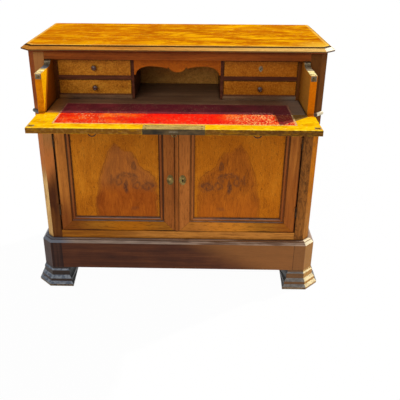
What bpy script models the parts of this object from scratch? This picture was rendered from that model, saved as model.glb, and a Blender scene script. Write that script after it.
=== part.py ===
"""Walnut secretary commode: a pull-out drawer whose front lets down as a writing flap, over two doors.

Metres, +Z up. Pieces are drawn from the carcase's front plane (Y = 0 there, +Y to the back), and the parent
empty then moves them so that the whole box is centred on the origin, with the feet on Z = 0.
It stands as photographed: secretary drawer pulled out, its front let down, doors and small drawers shut.
"""

import math

import bmesh
import bpy
from mathutils import Vector

# Overall size of the carcase
TOTAL_HEIGHT = 1.000
BODY_HALF = 0.544
BODY_DEPTH = 0.482
CANT = 0.0247
POST_FACE = 0.0375
POST_DEPTH = 0.045
SIDE_BOARD = 0.020
BACK_BOARD = 0.012
RAIL_DEPTH = 0.022
SHELF_BOARD = 0.018
SEAT_GAP = 0.0003

# Top board and its moulded edge
TOP_THICK = 0.024
TOP_OVERHANG = 0.0227
TOP_BACK_OVERHANG = 0.012
TOP_BED_OUT = 0.005
TOP_BED_HEIGHT = 0.0055
TOP_LIP = 0.005
TOP_OGEE = 0.06
TOP_FLAT_EDGE = 0.003
TOP_QUIRK = 0.0015

# Front rails and waist moulding
FRIEZE_HEIGHT = 0.0285
DRAWER_OPENING = 0.1895
WAIST_RAIL = 0.026
WAIST_MOULD_HEIGHT = 0.0155
WAIST_MOULD_OUT = 0.0072
BOTTOM_RAIL = 0.034

# Plinth and feet
FOOT_HEIGHT = 0.0775
PLINTH_HEIGHT = 0.132
PLINTH_OUT = 0.0245
PLINTH_SLOPE = 0.0095
PLINTH_LEDGE = 0.0015
PLINTH_BEAD = 0.0045
FOOT_CAP_OUT = 0.0250
FOOT_NECK_OUT = 0.0310
FOOT_BELLY_OUT = 0.0425
FOOT_TOE_OUT = 0.0525
FOOT_CAP_SLOPE = 0.006
FOOT_NECK_HEIGHT = 0.0215
FOOT_NECK_SLOPE = 0.012
FOOT_BELLY_HEIGHT = 0.0115
FOOT_BELLY_SLOPE = 0.010
FOOT_TOE_HEIGHT = 0.0095
FOOT_WIDTH = 0.080
FOOT_LENGTH = 0.062
FOOT_END_FLARE = 0.80
FOOT_HEEL = 0.012
FOOT_HEEL_SWELL = 0.012
REAR_FOOT_LENGTH = 0.110

# Cupboard
SHELF_LEVEL = 0.485
SHELF_SETBACK = 0.090

# Doors
DOOR_THICK = 0.022
DOOR_GAP = 0.0015
DOOR_STILE = 0.042
DOOR_MOULD_WIDTH = 0.020
DOOR_MOULD_DEPTH = 0.008
DOOR_MOULD_EDGE = 0.0015
DOOR_COVE_WIDTH = 0.0065
DOOR_COVE_DEPTH = 0.0055
DOOR_BEAD_WIDTH = 0.0095
DOOR_BEAD_RISE = 0.0040
PANEL_REBATE = 0.012
PANEL_THICK = 0.009
MITRE_GAP = 0.00015
MEETING_X = 0.0045
MEETING_GAP = 0.0015
BEAD_WIDTH = 0.0148
BEAD_QUIRK = 0.0022
BEAD_QUIRK_DEPTH = 0.003
BEAD_OUT = 0.005

# Door hinges
HINGE_GAP = 0.0042
HINGE_LENGTH = 0.046
HINGE_INSET = 0.095
HINGE_BARREL_R = 0.0026
HINGE_AXIS_OUT = 0.0030
HINGE_PIN_R = 0.0013
HINGE_PIN_EASE = 0.0003
HINGE_LEAF_DEPTH = 0.018

# Secretary drawer
PULL_OUT = 0.156
DRAWER_SIDE = 0.0229
DRAWER_SIDE_EASE = 0.0037
DRAWER_SIDE_DROP = 0.0155
DRAWER_SIDE_RISE = 0.0130
DRAWER_SWEEP_START = 0.045
DRAWER_SWEEP_LENGTH = 0.028
DRAWER_BACK = 0.013
DRAWER_RUN_GAP = 0.0005
NOSE_HEIGHT = 0.019
GUIDE_HEIGHT = 0.042
GUIDE_EASE = 0.001

# Fall, which is the drawer's front, and its pivots
FALL_THICK = 0.0185
FALL_SIDE_EASE = 0.002
FALL_CLEAR = 0.0005
FALL_REST_GAP = 0.0004
FALL_TOP_CLEAR = 0.0015
RULE_CLEAR = 0.0006
EAR_R = 0.0085
EAR_CLEAR = 0.0035
PIVOT_PIN_R = 0.003
PIVOT_PIN_EASE = 0.0003
PIVOT_PIN_IN_EAR = 0.015

# Writing leather
LEATHER_MARGIN = 0.050
LEATHER_BACK_MARGIN = 0.063
LEATHER_FRONT_MARGIN = 0.0504
LEATHER_THICK = 0.0012
LEATHER_RECESS = 0.0013

# Nest of small drawers round the pigeonhole
NEST_SETBACK = 0.0042
NEST_DEPTH = 0.2355
NEST_DROP = 0.004
PIGEONHOLE_HALF = 0.160
DIVIDER = 0.0095
PARTITION = 0.0125
BASE_STRIP = 0.0145
NEST_SHELF = 0.0145
APRON_THICK = 0.008
APRON_FOOT_WIDTH = 0.006
APRON_FOOT_DROP = 0.0555
APRON_ARCH_DROP = 0.024
APRON_ARCH_HALF = 0.103
APRON_CUSP_HALF = 0.040
APRON_CUSP_DROP = 0.0335
APRON_NOTCH_HALF = 0.031
APRON_NOTCH_DROP = 0.0255
APRON_LOBE_DROP = 0.0455

# Small drawers and their knobs
TRAY_EASE = 0.0006
TRAY_TOP_EASE = 0.001
TRAY_BACK_EASE = 0.004
TRAY_FRONT = 0.011
TRAY_WALL = 0.007
TRAY_FLOOR = 0.006
KNOB_R = 0.0095
KNOB_NECK_R = 0.0048
KNOB_LENGTH = 0.017
KNOB_HEAD = 0.0051
KNOB_FLANGE_R = 0.0062
KNOB_NECK_START = 0.0042
KNOB_NECK_END = 0.0068

# Spring catches at the top of the drawer's sides
CATCH_R = 0.0039
CATCH_EASE = 0.0003
CATCH_REACH = 0.005
CATCH_LENGTH = 0.023
CATCH_BORE = 0.026
CATCH_DROP = 0.010
CATCH_MORTISE_EASE = 0.0025
CATCH_MORTISE_DEPTH = 0.008

# Lock of the fall, its bolt and key
LOCK_HALF = 0.101
LOCK_DEPTH = 0.044
LOCK_PLATE = 0.0016
LOCK_CASE_HALF = 0.038
LOCK_CASE_DEPTH = 0.0425
LOCK_CASE_BELOW = 0.006
BOLT_HALF = 0.015
BOLT_THICK = 0.006
BOLT_LENGTH = 0.026
BOLT_SET_IN = 0.0005
BOLT_EASE = 0.0003
BOLT_TRAVEL = 0.007
BOLT_POCKET_EASE = 0.0015
KEY_FROM_EDGE = 0.036
KEY_SHANK_R = 0.0027
KEY_EASE = 0.0005
KEY_IN_CASE = 0.008
KEY_COLLAR_R = 0.0046
KEY_COLLAR = 0.0035
KEY_BOW_R = 0.0078
KEY_BOW_WIRE_R = 0.0019

# Ring pulls on the fall
PULL_HALF_SPACING = 0.279
PULL_ABOVE_PIVOT = 0.0825
RING_R = 0.0142
RING_WIRE_R = 0.0018
EYE_HALF_WIDTH = 0.004
EYE_HALF_DEPTH = 0.005
EYE_DROP = 0.0062
EYE_BORE_R = 0.0027
EYE_WALL = 0.0018

# Levels, worked out from the sizes above
TOP_UNDER = TOTAL_HEIGHT - TOP_THICK
FRIEZE_UNDER = TOP_UNDER - FRIEZE_HEIGHT
OPENING_FLOOR = FRIEZE_UNDER - DRAWER_OPENING
WAIST_UNDER = OPENING_FLOOR - WAIST_RAIL
PLINTH_TOP = FOOT_HEIGHT + PLINTH_HEIGHT
DOOR_SILL = PLINTH_TOP + BOTTOM_RAIL
DOOR_LOW = DOOR_SILL + DOOR_GAP
DOOR_HIGH = WAIST_UNDER - DOOR_GAP
NOSE_UNDER = OPENING_FLOOR + DRAWER_RUN_GAP
NOSE_TOP = NOSE_UNDER + NOSE_HEIGHT
FALL_UNDER = NOSE_TOP + FALL_REST_GAP
BED_TOP = FALL_UNDER + FALL_THICK
PIVOT_Z = FALL_UNDER + FALL_THICK / 2
DRAWER_SIDE_TOP = FRIEZE_UNDER - DRAWER_SIDE_DROP
NEST_TOP = FRIEZE_UNDER - NEST_DROP
CELL_HEIGHT = (NEST_TOP - BED_TOP - BASE_STRIP - NEST_SHELF) / 2
LOWER_CELL = BED_TOP + BASE_STRIP
UPPER_CELL = LOWER_CELL + CELL_HEIGHT + NEST_SHELF
CATCH_Z = DRAWER_SIDE_TOP - CATCH_DROP
CASE_UNDER = PIVOT_Z - LOCK_CASE_BELOW
EYE_Z = FALL_UNDER - EYE_DROP

# Places across and in depth
OPEN_HALF = BODY_HALF - CANT - POST_FACE
FOOT_INNER = BODY_HALF - FOOT_WIDTH
SIDE_INNER = BODY_HALF - SIDE_BOARD
BACK_INNER = BODY_DEPTH - BACK_BOARD
DRAWER_OUT = OPEN_HALF - DRAWER_SIDE_EASE
DRAWER_IN = DRAWER_OUT - DRAWER_SIDE
PARTITION_IN = DRAWER_IN - PARTITION
DIVIDER_OUT = PIGEONHOLE_HALF + DIVIDER
FALL_HALF = OPEN_HALF - FALL_SIDE_EASE
LEATHER_HALF = DRAWER_IN - LEATHER_MARGIN
PIVOT_Y = -PULL_OUT - FALL_CLEAR - FALL_THICK / 2
NOSE_FRONT = PIVOT_Y - FALL_THICK / 2
FALL_REACH = FRIEZE_UNDER - FALL_TOP_CLEAR - PIVOT_Z
FALL_FRONT = PIVOT_Y - FALL_REACH
FALL_REAR = PIVOT_Y + FALL_THICK / 2
RULE_R = math.hypot(FALL_THICK / 2, FALL_THICK / 2) + RULE_CLEAR
NEST_FRONT = RAIL_DEPTH + NEST_SETBACK
NEST_BACK = NEST_FRONT + NEST_DEPTH
DRAWER_END = NEST_BACK + DRAWER_BACK
DOOR_EDGE = OPEN_HALF - HINGE_GAP
HINGE_X = OPEN_HALF - HINGE_GAP / 2
CATCH_X = DRAWER_IN + DRAWER_SIDE / 2
KEY_Y = FALL_FRONT + KEY_FROM_EDGE
PULL_Y = PIVOT_Y - PULL_ABOVE_PIVOT
CENTRE_SHIFT = -(FALL_FRONT + BODY_DEPTH + TOP_BACK_OVERHANG) / 2

# How finely round shapes are drawn, and how far a cutter runs past a face
ROUND_SIDES = 16
ARC_STEPS = 6
OVERRUN = 0.010
CANT_TURN = math.tan(math.radians(22.5))

# Finishes: colour, roughness and metallic value
FINISHES = {
    "walnut": ((0.300, 0.130, 0.045), 0.38, 0.0),
    "figured_walnut": ((0.380, 0.170, 0.050), 0.32, 0.0),
    "dark_walnut": ((0.130, 0.065, 0.040), 0.45, 0.0),
    "plain_wood": ((0.330, 0.200, 0.100), 0.60, 0.0),
    "leather": ((0.380, 0.020, 0.025), 0.50, 0.0),
    "brass": ((0.480, 0.350, 0.140), 0.40, 1.0),
    "iron": ((0.060, 0.050, 0.045), 0.50, 1.0),
    "turned_wood": ((0.085, 0.040, 0.025), 0.35, 0.0),
}


def clear_scene():
    for item in list(bpy.data.objects):
        bpy.data.objects.remove(item, do_unlink=True)


def loft(loops):
    """A closed solid through loops of equally many points, capped at both ends."""
    shape = bmesh.new()
    rows = [[shape.verts.new(point) for point in loop] for loop in loops]
    for low, high in zip(rows, rows[1:]):
        count = len(low)
        for i in range(count):
            j = (i + 1) % count
            shape.faces.new((low[i], low[j], high[j], high[i]))
    shape.faces.new(rows[0])
    shape.faces.new(rows[-1])
    bmesh.ops.recalc_face_normals(shape, faces=shape.faces)
    return shape


def prism(axis, outline, low, high):
    """An outline in the plane across the axis, in the order of the two axes left, drawn from low to high."""
    places = {"X": (2, 0, 1), "Y": (0, 2, 1), "Z": (0, 1, 2)}[axis]

    def loop(level):
        return [tuple((a, b, level)[i] for i in places) for a, b in outline]

    return loft([loop(low), loop(high)])


def block(low, high):
    (x0, y0, z0), (x1, y1, z1) = low, high
    return prism("Z", [(x0, y0), (x1, y0), (x1, y1), (x0, y1)], z0, z1)


def arc(centre, radii, start, end, steps=ARC_STEPS):
    """Points on an ellipse's arc, angles in degrees."""
    points = []
    for i in range(steps + 1):
        angle = math.radians(start + (end - start) * i / steps)
        points.append((centre[0] + radii[0] * math.cos(angle), centre[1] + radii[1] * math.sin(angle)))
    return points


def rod(axis, centre, radius, low, high):
    circle = arc(centre, (radius, radius), 0, 360, ROUND_SIDES)[:-1]
    return prism(axis, circle, low, high)


def ring(centre, radius, wire_radius):
    """A round wire ring that stands across the Y axis."""
    shape = bmesh.new()
    hoops = []
    for i in range(2 * ROUND_SIDES):
        turn = 2 * math.pi * i / (2 * ROUND_SIDES)
        out = Vector((math.cos(turn), 0, math.sin(turn)))
        hoop = []
        for a, b in arc((radius, 0), (wire_radius, wire_radius), 0, 360, ROUND_SIDES // 2)[:-1]:
            hoop.append(shape.verts.new(Vector(centre) + out * a + Vector((0, b, 0))))
        hoops.append(hoop)
    for hoop, after in zip(hoops, hoops[1:] + hoops[:1]):
        for i in range(len(hoop)):
            j = (i + 1) % len(hoop)
            shape.faces.new((hoop[i], hoop[j], after[j], after[i]))
    bmesh.ops.recalc_face_normals(shape, faces=shape.faces)
    return shape


def turned(profile, centre, front):
    """A turned piece round a line along -Y: profile holds (radius, distance in front of the seat)."""
    loops = []
    for radius, reach in profile:
        circle = arc(centre, (radius, radius), 0, 360, ROUND_SIDES)[:-1]
        loops.append([(x, front - reach, z) for x, z in circle])
    return loft(loops)


class Group:
    """An empty that carries pieces which move as one, set on their joint's axis."""

    def __init__(self, name, at=(0, 0, 0), parent=None):
        self.at = Vector(at)
        self.empty = bpy.data.objects.new(name, None)
        bpy.context.scene.collection.objects.link(self.empty)
        if parent:
            self.empty.parent = parent.empty
            self.empty.location = self.at - parent.at
        else:
            self.empty.location = self.at

    def place(self, name, shape):
        bmesh.ops.translate(shape, verts=shape.verts, vec=-self.at)
        mesh = bpy.data.meshes.new(name)
        shape.to_mesh(mesh)
        shape.free()
        item = bpy.data.objects.new(name, mesh)
        bpy.context.scene.collection.objects.link(item)
        item.parent = self.empty
        return item

    def add(self, name, finish, shape, smooth=False):
        item = self.place(name, shape)
        colour, roughness, metallic = FINISHES[finish]
        material = bpy.data.materials.new(name + "_" + finish)
        material.use_nodes = True
        shader = material.node_tree.nodes["Principled BSDF"]
        shader.inputs["Base Color"].default_value = (*colour, 1)
        shader.inputs["Roughness"].default_value = roughness
        shader.inputs["Metallic"].default_value = metallic
        item.data.materials.append(material)
        if smooth:
            item.data.shade_smooth()
            item.data.set_sharp_from_angle(angle=math.radians(40))
        return item

    def combine(self, item, operation, shape):
        helper = self.place(f"{item.name}_{operation.lower()}_{len(item.modifiers)}", shape)
        helper.hide_render = True
        helper.display_type = "WIRE"
        modifier = item.modifiers.new(helper.name, "BOOLEAN")
        modifier.operation = operation
        modifier.solver = "EXACT"
        modifier.object = helper

    def carve(self, item, *shapes):
        for shape in shapes:
            self.combine(item, "DIFFERENCE", shape)

    def fuse(self, item, *shapes):
        for shape in shapes:
            self.combine(item, "UNION", shape)


# Sides of the piece, by name and by sign of X
SIDES = (("left", -1), ("right", 1))


def mirrored(outline, sign):
    """An outline drawn for the right side, on the side asked for, still running the same way round."""
    if sign > 0:
        return outline
    return [(-a, b) for a, b in reversed(outline)]


def span(sign, inner, outer):
    """Lowest and highest X of a stretch given by its distances from the middle."""
    return (inner, outer) if sign > 0 else (-outer, -inner)


def cant_corner(offset):
    """Where the canted corner meets the side and the front, with the outline moved out by offset."""
    side = BODY_HALF + offset
    side_y = CANT - offset * CANT_TURN
    front_x = BODY_HALF - CANT + offset * CANT_TURN
    return side, side_y, front_x


def canted_outline(offset, back):
    side, side_y, front_x = cant_corner(offset)
    right = [(front_x, -offset), (side, side_y), (side, back)]
    return [(-x, y) for x, y in reversed(right)] + right


def front_sweep(section):
    """A moulding of (offset, level) points run along the front and round both canted corners."""
    stations = [[], [], [], []]
    for offset, level in section:
        side, side_y, front_x = cant_corner(offset)
        stations[0].append((-side, side_y, level))
        stations[1].append((-front_x, -offset, level))
        stations[2].append((front_x, -offset, level))
        stations[3].append((side, side_y, level))
    return loft(stations)


def side_sweep(section, sign):
    """The same moulding run along one side, from the canted corner to the back."""
    front, back = [], []
    for offset, level in section:
        side, side_y, _ = cant_corner(offset)
        front.append((sign * side, side_y + SEAT_GAP, level))
        back.append((sign * side, BODY_DEPTH, level))
    return loft([front, back])


def between_posts(low, high):
    """A floor's outline that fills the carcase behind its front rail, with a tongue between the posts."""
    wide = SIDE_INNER - SEAT_GAP
    narrow = OPEN_HALF - SEAT_GAP
    front = RAIL_DEPTH + SEAT_GAP
    shoulder = POST_DEPTH + SEAT_GAP
    back = BACK_INNER - SEAT_GAP
    right = [(narrow, front), (narrow, shoulder), (wide, shoulder), (wide, back)]
    return prism("Z", right + [(-x, y) for x, y in reversed(right)], low, high)


def make_top(body):
    back = BODY_DEPTH + TOP_BACK_OVERHANG
    lip_low = TOP_UNDER + TOP_BED_HEIGHT
    lip_top = lip_low + TOP_LIP
    shelf = TOP_FLAT_EDGE + TOP_QUIRK
    rise = TOTAL_HEIGHT - TOP_QUIRK - lip_top
    levels = [(TOP_BED_OUT, TOP_UNDER), (TOP_OVERHANG, lip_low)]
    for i in range(ARC_STEPS + 1):
        share = i / ARC_STEPS
        swell = share - TOP_OGEE * math.sin(2 * math.pi * share)
        levels.append((TOP_OVERHANG + (shelf - TOP_OVERHANG) * share, lip_top + rise * swell))
    levels += [(TOP_FLAT_EDGE, TOTAL_HEIGHT - TOP_QUIRK), (TOP_FLAT_EDGE, TOTAL_HEIGHT)]
    loops = []
    for offset, level in levels:
        loops.append([(x, y, level) for x, y in canted_outline(offset, back)])
    body.add("top_board", "walnut", loft(loops))


def make_rails(body):
    half = OPEN_HALF - SEAT_GAP
    under_top = TOP_UNDER - SEAT_GAP
    rail = block((-half, 0, FRIEZE_UNDER), (half, RAIL_DEPTH, under_top))
    frieze = body.add("frieze_rail", "walnut", rail)
    pocket_half = BOLT_HALF + BOLT_POCKET_EASE
    pocket_y = BOLT_THICK / 2 + BOLT_POCKET_EASE
    pocket_top = FRIEZE_UNDER + BOLT_TRAVEL + BOLT_POCKET_EASE
    low = (-pocket_half, FALL_THICK / 2 - pocket_y, FRIEZE_UNDER - OVERRUN)
    body.carve(frieze, block(low, (pocket_half, FALL_THICK / 2 + pocket_y, pocket_top)))
    body.add("waist_rail", "walnut", block((-half, 0, WAIST_UNDER), (half, RAIL_DEPTH, OPENING_FLOOR)))
    low = (-half, 0, PLINTH_TOP - PLINTH_HEIGHT + SEAT_GAP)
    body.add("bottom_rail", "walnut", block(low, (half, RAIL_DEPTH, DOOR_SILL)))


def make_waist_moulding(body):
    middle = OPENING_FLOOR - WAIST_MOULD_HEIGHT / 2
    section = [(SEAT_GAP, OPENING_FLOOR - WAIST_MOULD_HEIGHT)]
    section += arc((SEAT_GAP, middle), (WAIST_MOULD_OUT, WAIST_MOULD_HEIGHT / 2), -80, 80)
    section += [(SEAT_GAP, OPENING_FLOOR)]
    body.add("waist_moulding", "walnut", front_sweep(section))


def make_walls(body):
    top = TOP_UNDER - SEAT_GAP
    low = FOOT_HEIGHT + SEAT_GAP
    section = [(OPEN_HALF, 0), (BODY_HALF - CANT, 0), (BODY_HALF, CANT)]
    section += [(BODY_HALF, POST_DEPTH), (OPEN_HALF, POST_DEPTH)]
    for side, sign in SIDES:
        body.add(f"{side}_post", "walnut", prism("Z", mirrored(section, sign), low, top))
        x0, x1 = span(sign, SIDE_INNER, BODY_HALF)
        body.add(f"{side}_side", "walnut", block((x0, POST_DEPTH + SEAT_GAP, low), (x1, BODY_DEPTH, top)))
    half = SIDE_INNER - SEAT_GAP
    body.add("back_panel", "plain_wood", block((-half, BACK_INNER, low), (half, BODY_DEPTH, top)))


def make_floors(body):
    dust = body.add("dust_board", "plain_wood", between_posts(OPENING_FLOOR - SHELF_BOARD, OPENING_FLOOR))
    for _, sign in SIDES:
        x0, x1 = span(sign, DRAWER_OUT + GUIDE_EASE, SIDE_INNER - 2 * SEAT_GAP)
        low = (x0, POST_DEPTH + 2 * SEAT_GAP, OPENING_FLOOR - SHELF_BOARD / 2)
        body.fuse(dust, block(low, (x1, BACK_INNER - 2 * SEAT_GAP, OPENING_FLOOR + GUIDE_HEIGHT)))
    body.add("cupboard_floor", "plain_wood", between_posts(DOOR_SILL - SHELF_BOARD, DOOR_SILL))
    half = SIDE_INNER - SEAT_GAP
    high = (half, BACK_INNER - SEAT_GAP, SHELF_LEVEL + SHELF_BOARD)
    body.add("cupboard_shelf", "plain_wood", block((-half, SHELF_SETBACK, SHELF_LEVEL), high))


def make_plinth(body):
    """Boards planted on the carcase, with a slope and a small bead run along the upper edge."""
    foot = FOOT_HEIGHT + SEAT_GAP
    slope_top = PLINTH_TOP - PLINTH_BEAD
    slope_in = PLINTH_OUT - PLINTH_SLOPE
    bead_in = slope_in - PLINTH_LEDGE - PLINTH_BEAD / 2
    section = [(SEAT_GAP, foot), (PLINTH_OUT, foot), (PLINTH_OUT, slope_top - PLINTH_SLOPE)]
    section += [(slope_in, slope_top), (bead_in, slope_top)]
    section += arc((bead_in, PLINTH_TOP - PLINTH_BEAD / 2), (PLINTH_BEAD / 2, PLINTH_BEAD / 2), -60, 90)
    section += [(SEAT_GAP, PLINTH_TOP)]
    body.add("plinth_front", "dark_walnut", front_sweep(section))
    for side, sign in SIDES:
        body.add(f"plinth_{side}", "dark_walnut", side_sweep(section, sign))


def make_feet(body):
    steps = [
        (FOOT_TOE_OUT, FOOT_TOE_HEIGHT, FOOT_BELLY_SLOPE),
        (FOOT_BELLY_OUT, FOOT_BELLY_HEIGHT, FOOT_NECK_SLOPE),
        (FOOT_NECK_OUT, FOOT_NECK_HEIGHT, FOOT_CAP_SLOPE),
    ]
    levels = []
    level = 0
    for offset, upright, slope in steps:
        levels += [(offset, level), (offset, level + upright)]
        level += upright + slope
    levels += [(FOOT_CAP_OUT, level), (FOOT_CAP_OUT, FOOT_HEIGHT)]
    for side, sign in SIDES:
        loops = []
        for offset, level in levels:
            flare = (offset - FOOT_CAP_OUT) * FOOT_END_FLARE
            swell = FOOT_HEEL_SWELL * math.sin(math.pi * level / FOOT_HEIGHT)
            outer, side_y, front_x = cant_corner(offset)
            inner = FOOT_INNER - flare
            heel = FOOT_INNER - FOOT_HEEL - swell
            end = FOOT_LENGTH + flare
            outline = [(inner, -offset), (front_x, -offset), (outer, side_y), (outer, end), (heel, end)]
            loops.append([(x, y, level) for x, y in mirrored(outline, sign)])
        body.add(f"front_{side}_foot", "dark_walnut", loft(loops))
        x0, x1 = span(sign, FOOT_INNER, BODY_HALF + PLINTH_OUT)
        rear = block((x0, BODY_DEPTH - REAR_FOOT_LENGTH, 0), (x1, BODY_DEPTH, FOOT_HEIGHT))
        body.add(f"rear_{side}_foot", "dark_walnut", rear)


def door_section():
    """Cross-section of a door frame member: (distance in from its outer edge, depth behind the face)."""
    cove_end = DOOR_STILE + DOOR_COVE_WIDTH
    bead_end = cove_end + DOOR_BEAD_WIDTH
    end = DOOR_STILE + DOOR_MOULD_WIDTH
    section = [(0, 0)]
    section += arc((cove_end, 0), (DOOR_COVE_WIDTH, DOOR_COVE_DEPTH), 180, 90)
    bead_at = ((cove_end + bead_end) / 2, DOOR_COVE_DEPTH)
    section += arc(bead_at, (DOOR_BEAD_WIDTH / 2, DOOR_BEAD_RISE), 180, 360)[1:]
    section += [(bead_end, DOOR_MOULD_DEPTH), (end, DOOR_MOULD_DEPTH)]
    rebate = DOOR_MOULD_DEPTH + DOOR_MOULD_EDGE
    section += [(end, rebate), (end - PANEL_REBATE, rebate)]
    section += [(end - PANEL_REBATE, DOOR_THICK), (0, DOOR_THICK)]
    return section


def bead_section():
    """The bead beyond a meeting stile's outer edge, from its back round to the stile's face."""
    far = -BEAD_QUIRK - BEAD_WIDTH
    section = [(far, DOOR_THICK)]
    section += arc((-BEAD_QUIRK - BEAD_WIDTH / 2, 0), (BEAD_WIDTH / 2, BEAD_OUT), 180, 360)
    section += [(-BEAD_QUIRK, BEAD_QUIRK_DEPTH), (0, BEAD_QUIRK_DEPTH)]
    return section


def frame_member(section, start, end, inward):
    """A frame member between two (x, z) corners, mitred at both ends."""
    start, end, inward = Vector(start), Vector(end), Vector(inward)
    along = (end - start).normalized()
    loops = []
    for corner, way in ((start, along), (end, -along)):
        loop = []
        for inset, depth in section:
            place = corner + way * (max(inset, 0) + MITRE_GAP) + inward * inset
            loop.append((place.x, depth, place.y))
        loops.append(loop)
    return loft(loops)


def hinge_levels():
    return (("lower", DOOR_LOW + HINGE_INSET), ("upper", DOOR_HIGH - HINGE_INSET))


def hinge_barrel(sign, low, high):
    return rod("Z", (sign * HINGE_X, -HINGE_AXIS_OUT), HINGE_BARREL_R, low, high)


def hinge_leaf(sign, inner, outer, low, high):
    x0, x1 = span(sign, inner, outer)
    return block((x0, -HINGE_AXIS_OUT, low), (x1, HINGE_LEAF_DEPTH, high))


def make_hinge_pins(body):
    """The halves of the barrel hinges that stay on the posts, each with its pin."""
    for side, sign in SIDES:
        for place, level in hinge_levels():
            low = level - HINGE_LENGTH / 2
            barrel = hinge_barrel(sign, low, level - SEAT_GAP)
            hinge = body.add(f"{side}_{place}_hinge", "iron", barrel, smooth=True)
            leaf_top = level - 2 * SEAT_GAP
            leaf = hinge_leaf(sign, HINGE_X + SEAT_GAP, OPEN_HALF - SEAT_GAP, low + SEAT_GAP, leaf_top)
            pin_top = level + HINGE_LENGTH / 2 - SEAT_GAP
            pin = rod("Z", (sign * HINGE_X, -HINGE_AXIS_OUT), HINGE_PIN_R, (low + level) / 2, pin_top)
            body.fuse(hinge, leaf, pin)


def fuse_door_knuckles(door, stile, sign):
    """The hinge halves let into the stile's edge, bored for the pins."""
    for _, level in hinge_levels():
        high = level + HINGE_LENGTH / 2
        let_in = DOOR_EDGE - OVERRUN / 2
        leaf = hinge_leaf(sign, let_in, HINGE_X - SEAT_GAP, level + SEAT_GAP, high - SEAT_GAP)
        barrel = hinge_barrel(sign, level, high)
        bore_r = HINGE_PIN_R + HINGE_PIN_EASE
        bore = rod("Z", (sign * HINGE_X, -HINGE_AXIS_OUT), bore_r, level - OVERRUN, high + OVERRUN)
        door.fuse(stile, leaf, barrel)
        door.carve(stile, bore)


def make_door(root, side, sign):
    door = Group(f"{side}_door_axis", (sign * HINGE_X, -HINGE_AXIS_OUT, 0), root)
    outer = sign * DOOR_EDGE
    meeting = MEETING_X + MEETING_GAP if sign > 0 else MEETING_X - BEAD_WIDTH - BEAD_QUIRK
    section = door_section()
    meeting_section = section if sign > 0 else bead_section() + section
    name = f"{side}_door"
    stile = frame_member(section, (outer, DOOR_LOW), (outer, DOOR_HIGH), (-sign, 0))
    hung = door.add(f"{name}_outer_stile", "walnut", stile)
    fuse_door_knuckles(door, hung, sign)
    stile = frame_member(meeting_section, (meeting, DOOR_LOW), (meeting, DOOR_HIGH), (sign, 0))
    door.add(f"{name}_meeting_stile", "walnut", stile)
    for place, level, way in (("bottom", DOOR_LOW, 1), ("top", DOOR_HIGH, -1)):
        rail = frame_member(section, (outer, level), (meeting, level), (0, way))
        door.add(f"{name}_{place}_rail", "walnut", rail)
    border = DOOR_STILE + DOOR_MOULD_WIDTH - PANEL_REBATE + SEAT_GAP
    x0, x1 = sorted((outer - sign * border, meeting + sign * border))
    front = DOOR_MOULD_DEPTH + DOOR_MOULD_EDGE + SEAT_GAP
    panel = block((x0, front, DOOR_LOW + border), (x1, front + PANEL_THICK, DOOR_HIGH - border))
    door.add(f"{name}_panel", "figured_walnut", panel)


def make_drawer_side(drawer, side, sign):
    """A side of the secretary drawer: its partition, the ear for the fall's pivot and the catch's bore."""
    sweep_top = DRAWER_SIDE_TOP + DRAWER_SIDE_RISE
    sweep = (DRAWER_SWEEP_LENGTH, DRAWER_SIDE_RISE)
    section = [(DRAWER_END, sweep_top)]
    section += arc((-DRAWER_SWEEP_START, sweep_top), sweep, 360, 270)
    section += [(-PULL_OUT, DRAWER_SIDE_TOP), (-PULL_OUT, PIVOT_Z + EAR_R)]
    section += arc((PIVOT_Y, PIVOT_Z), (EAR_R, EAR_R), 90, 270)
    section += [(-PULL_OUT, PIVOT_Z - EAR_R), (-PULL_OUT, NOSE_TOP), (NOSE_FRONT, NOSE_TOP)]
    section += [(NOSE_FRONT, NOSE_UNDER), (DRAWER_END, NOSE_UNDER)]
    x0, x1 = span(sign, DRAWER_IN, DRAWER_OUT)
    wall = drawer.add(f"drawer_{side}_side", "walnut", prism("X", section, x0, x1))
    px0, px1 = span(sign, PARTITION_IN, DRAWER_IN + DRAWER_SIDE / 3)
    low = (px0, NEST_FRONT, BED_TOP + SEAT_GAP)
    drawer.fuse(wall, block(low, (px1, NEST_BACK - SEAT_GAP, NEST_TOP)))
    pivot_bore = rod("X", (PIVOT_Y, PIVOT_Z), PIVOT_PIN_R + PIVOT_PIN_EASE, x0 - OVERRUN, x1 + OVERRUN)
    catch_end = CATCH_BORE - PULL_OUT
    catch_at = (sign * CATCH_X, CATCH_Z)
    catch_bore = rod("Y", catch_at, CATCH_R + CATCH_EASE, -PULL_OUT - OVERRUN, catch_end)
    drawer.carve(wall, pivot_bore, catch_bore)


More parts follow.
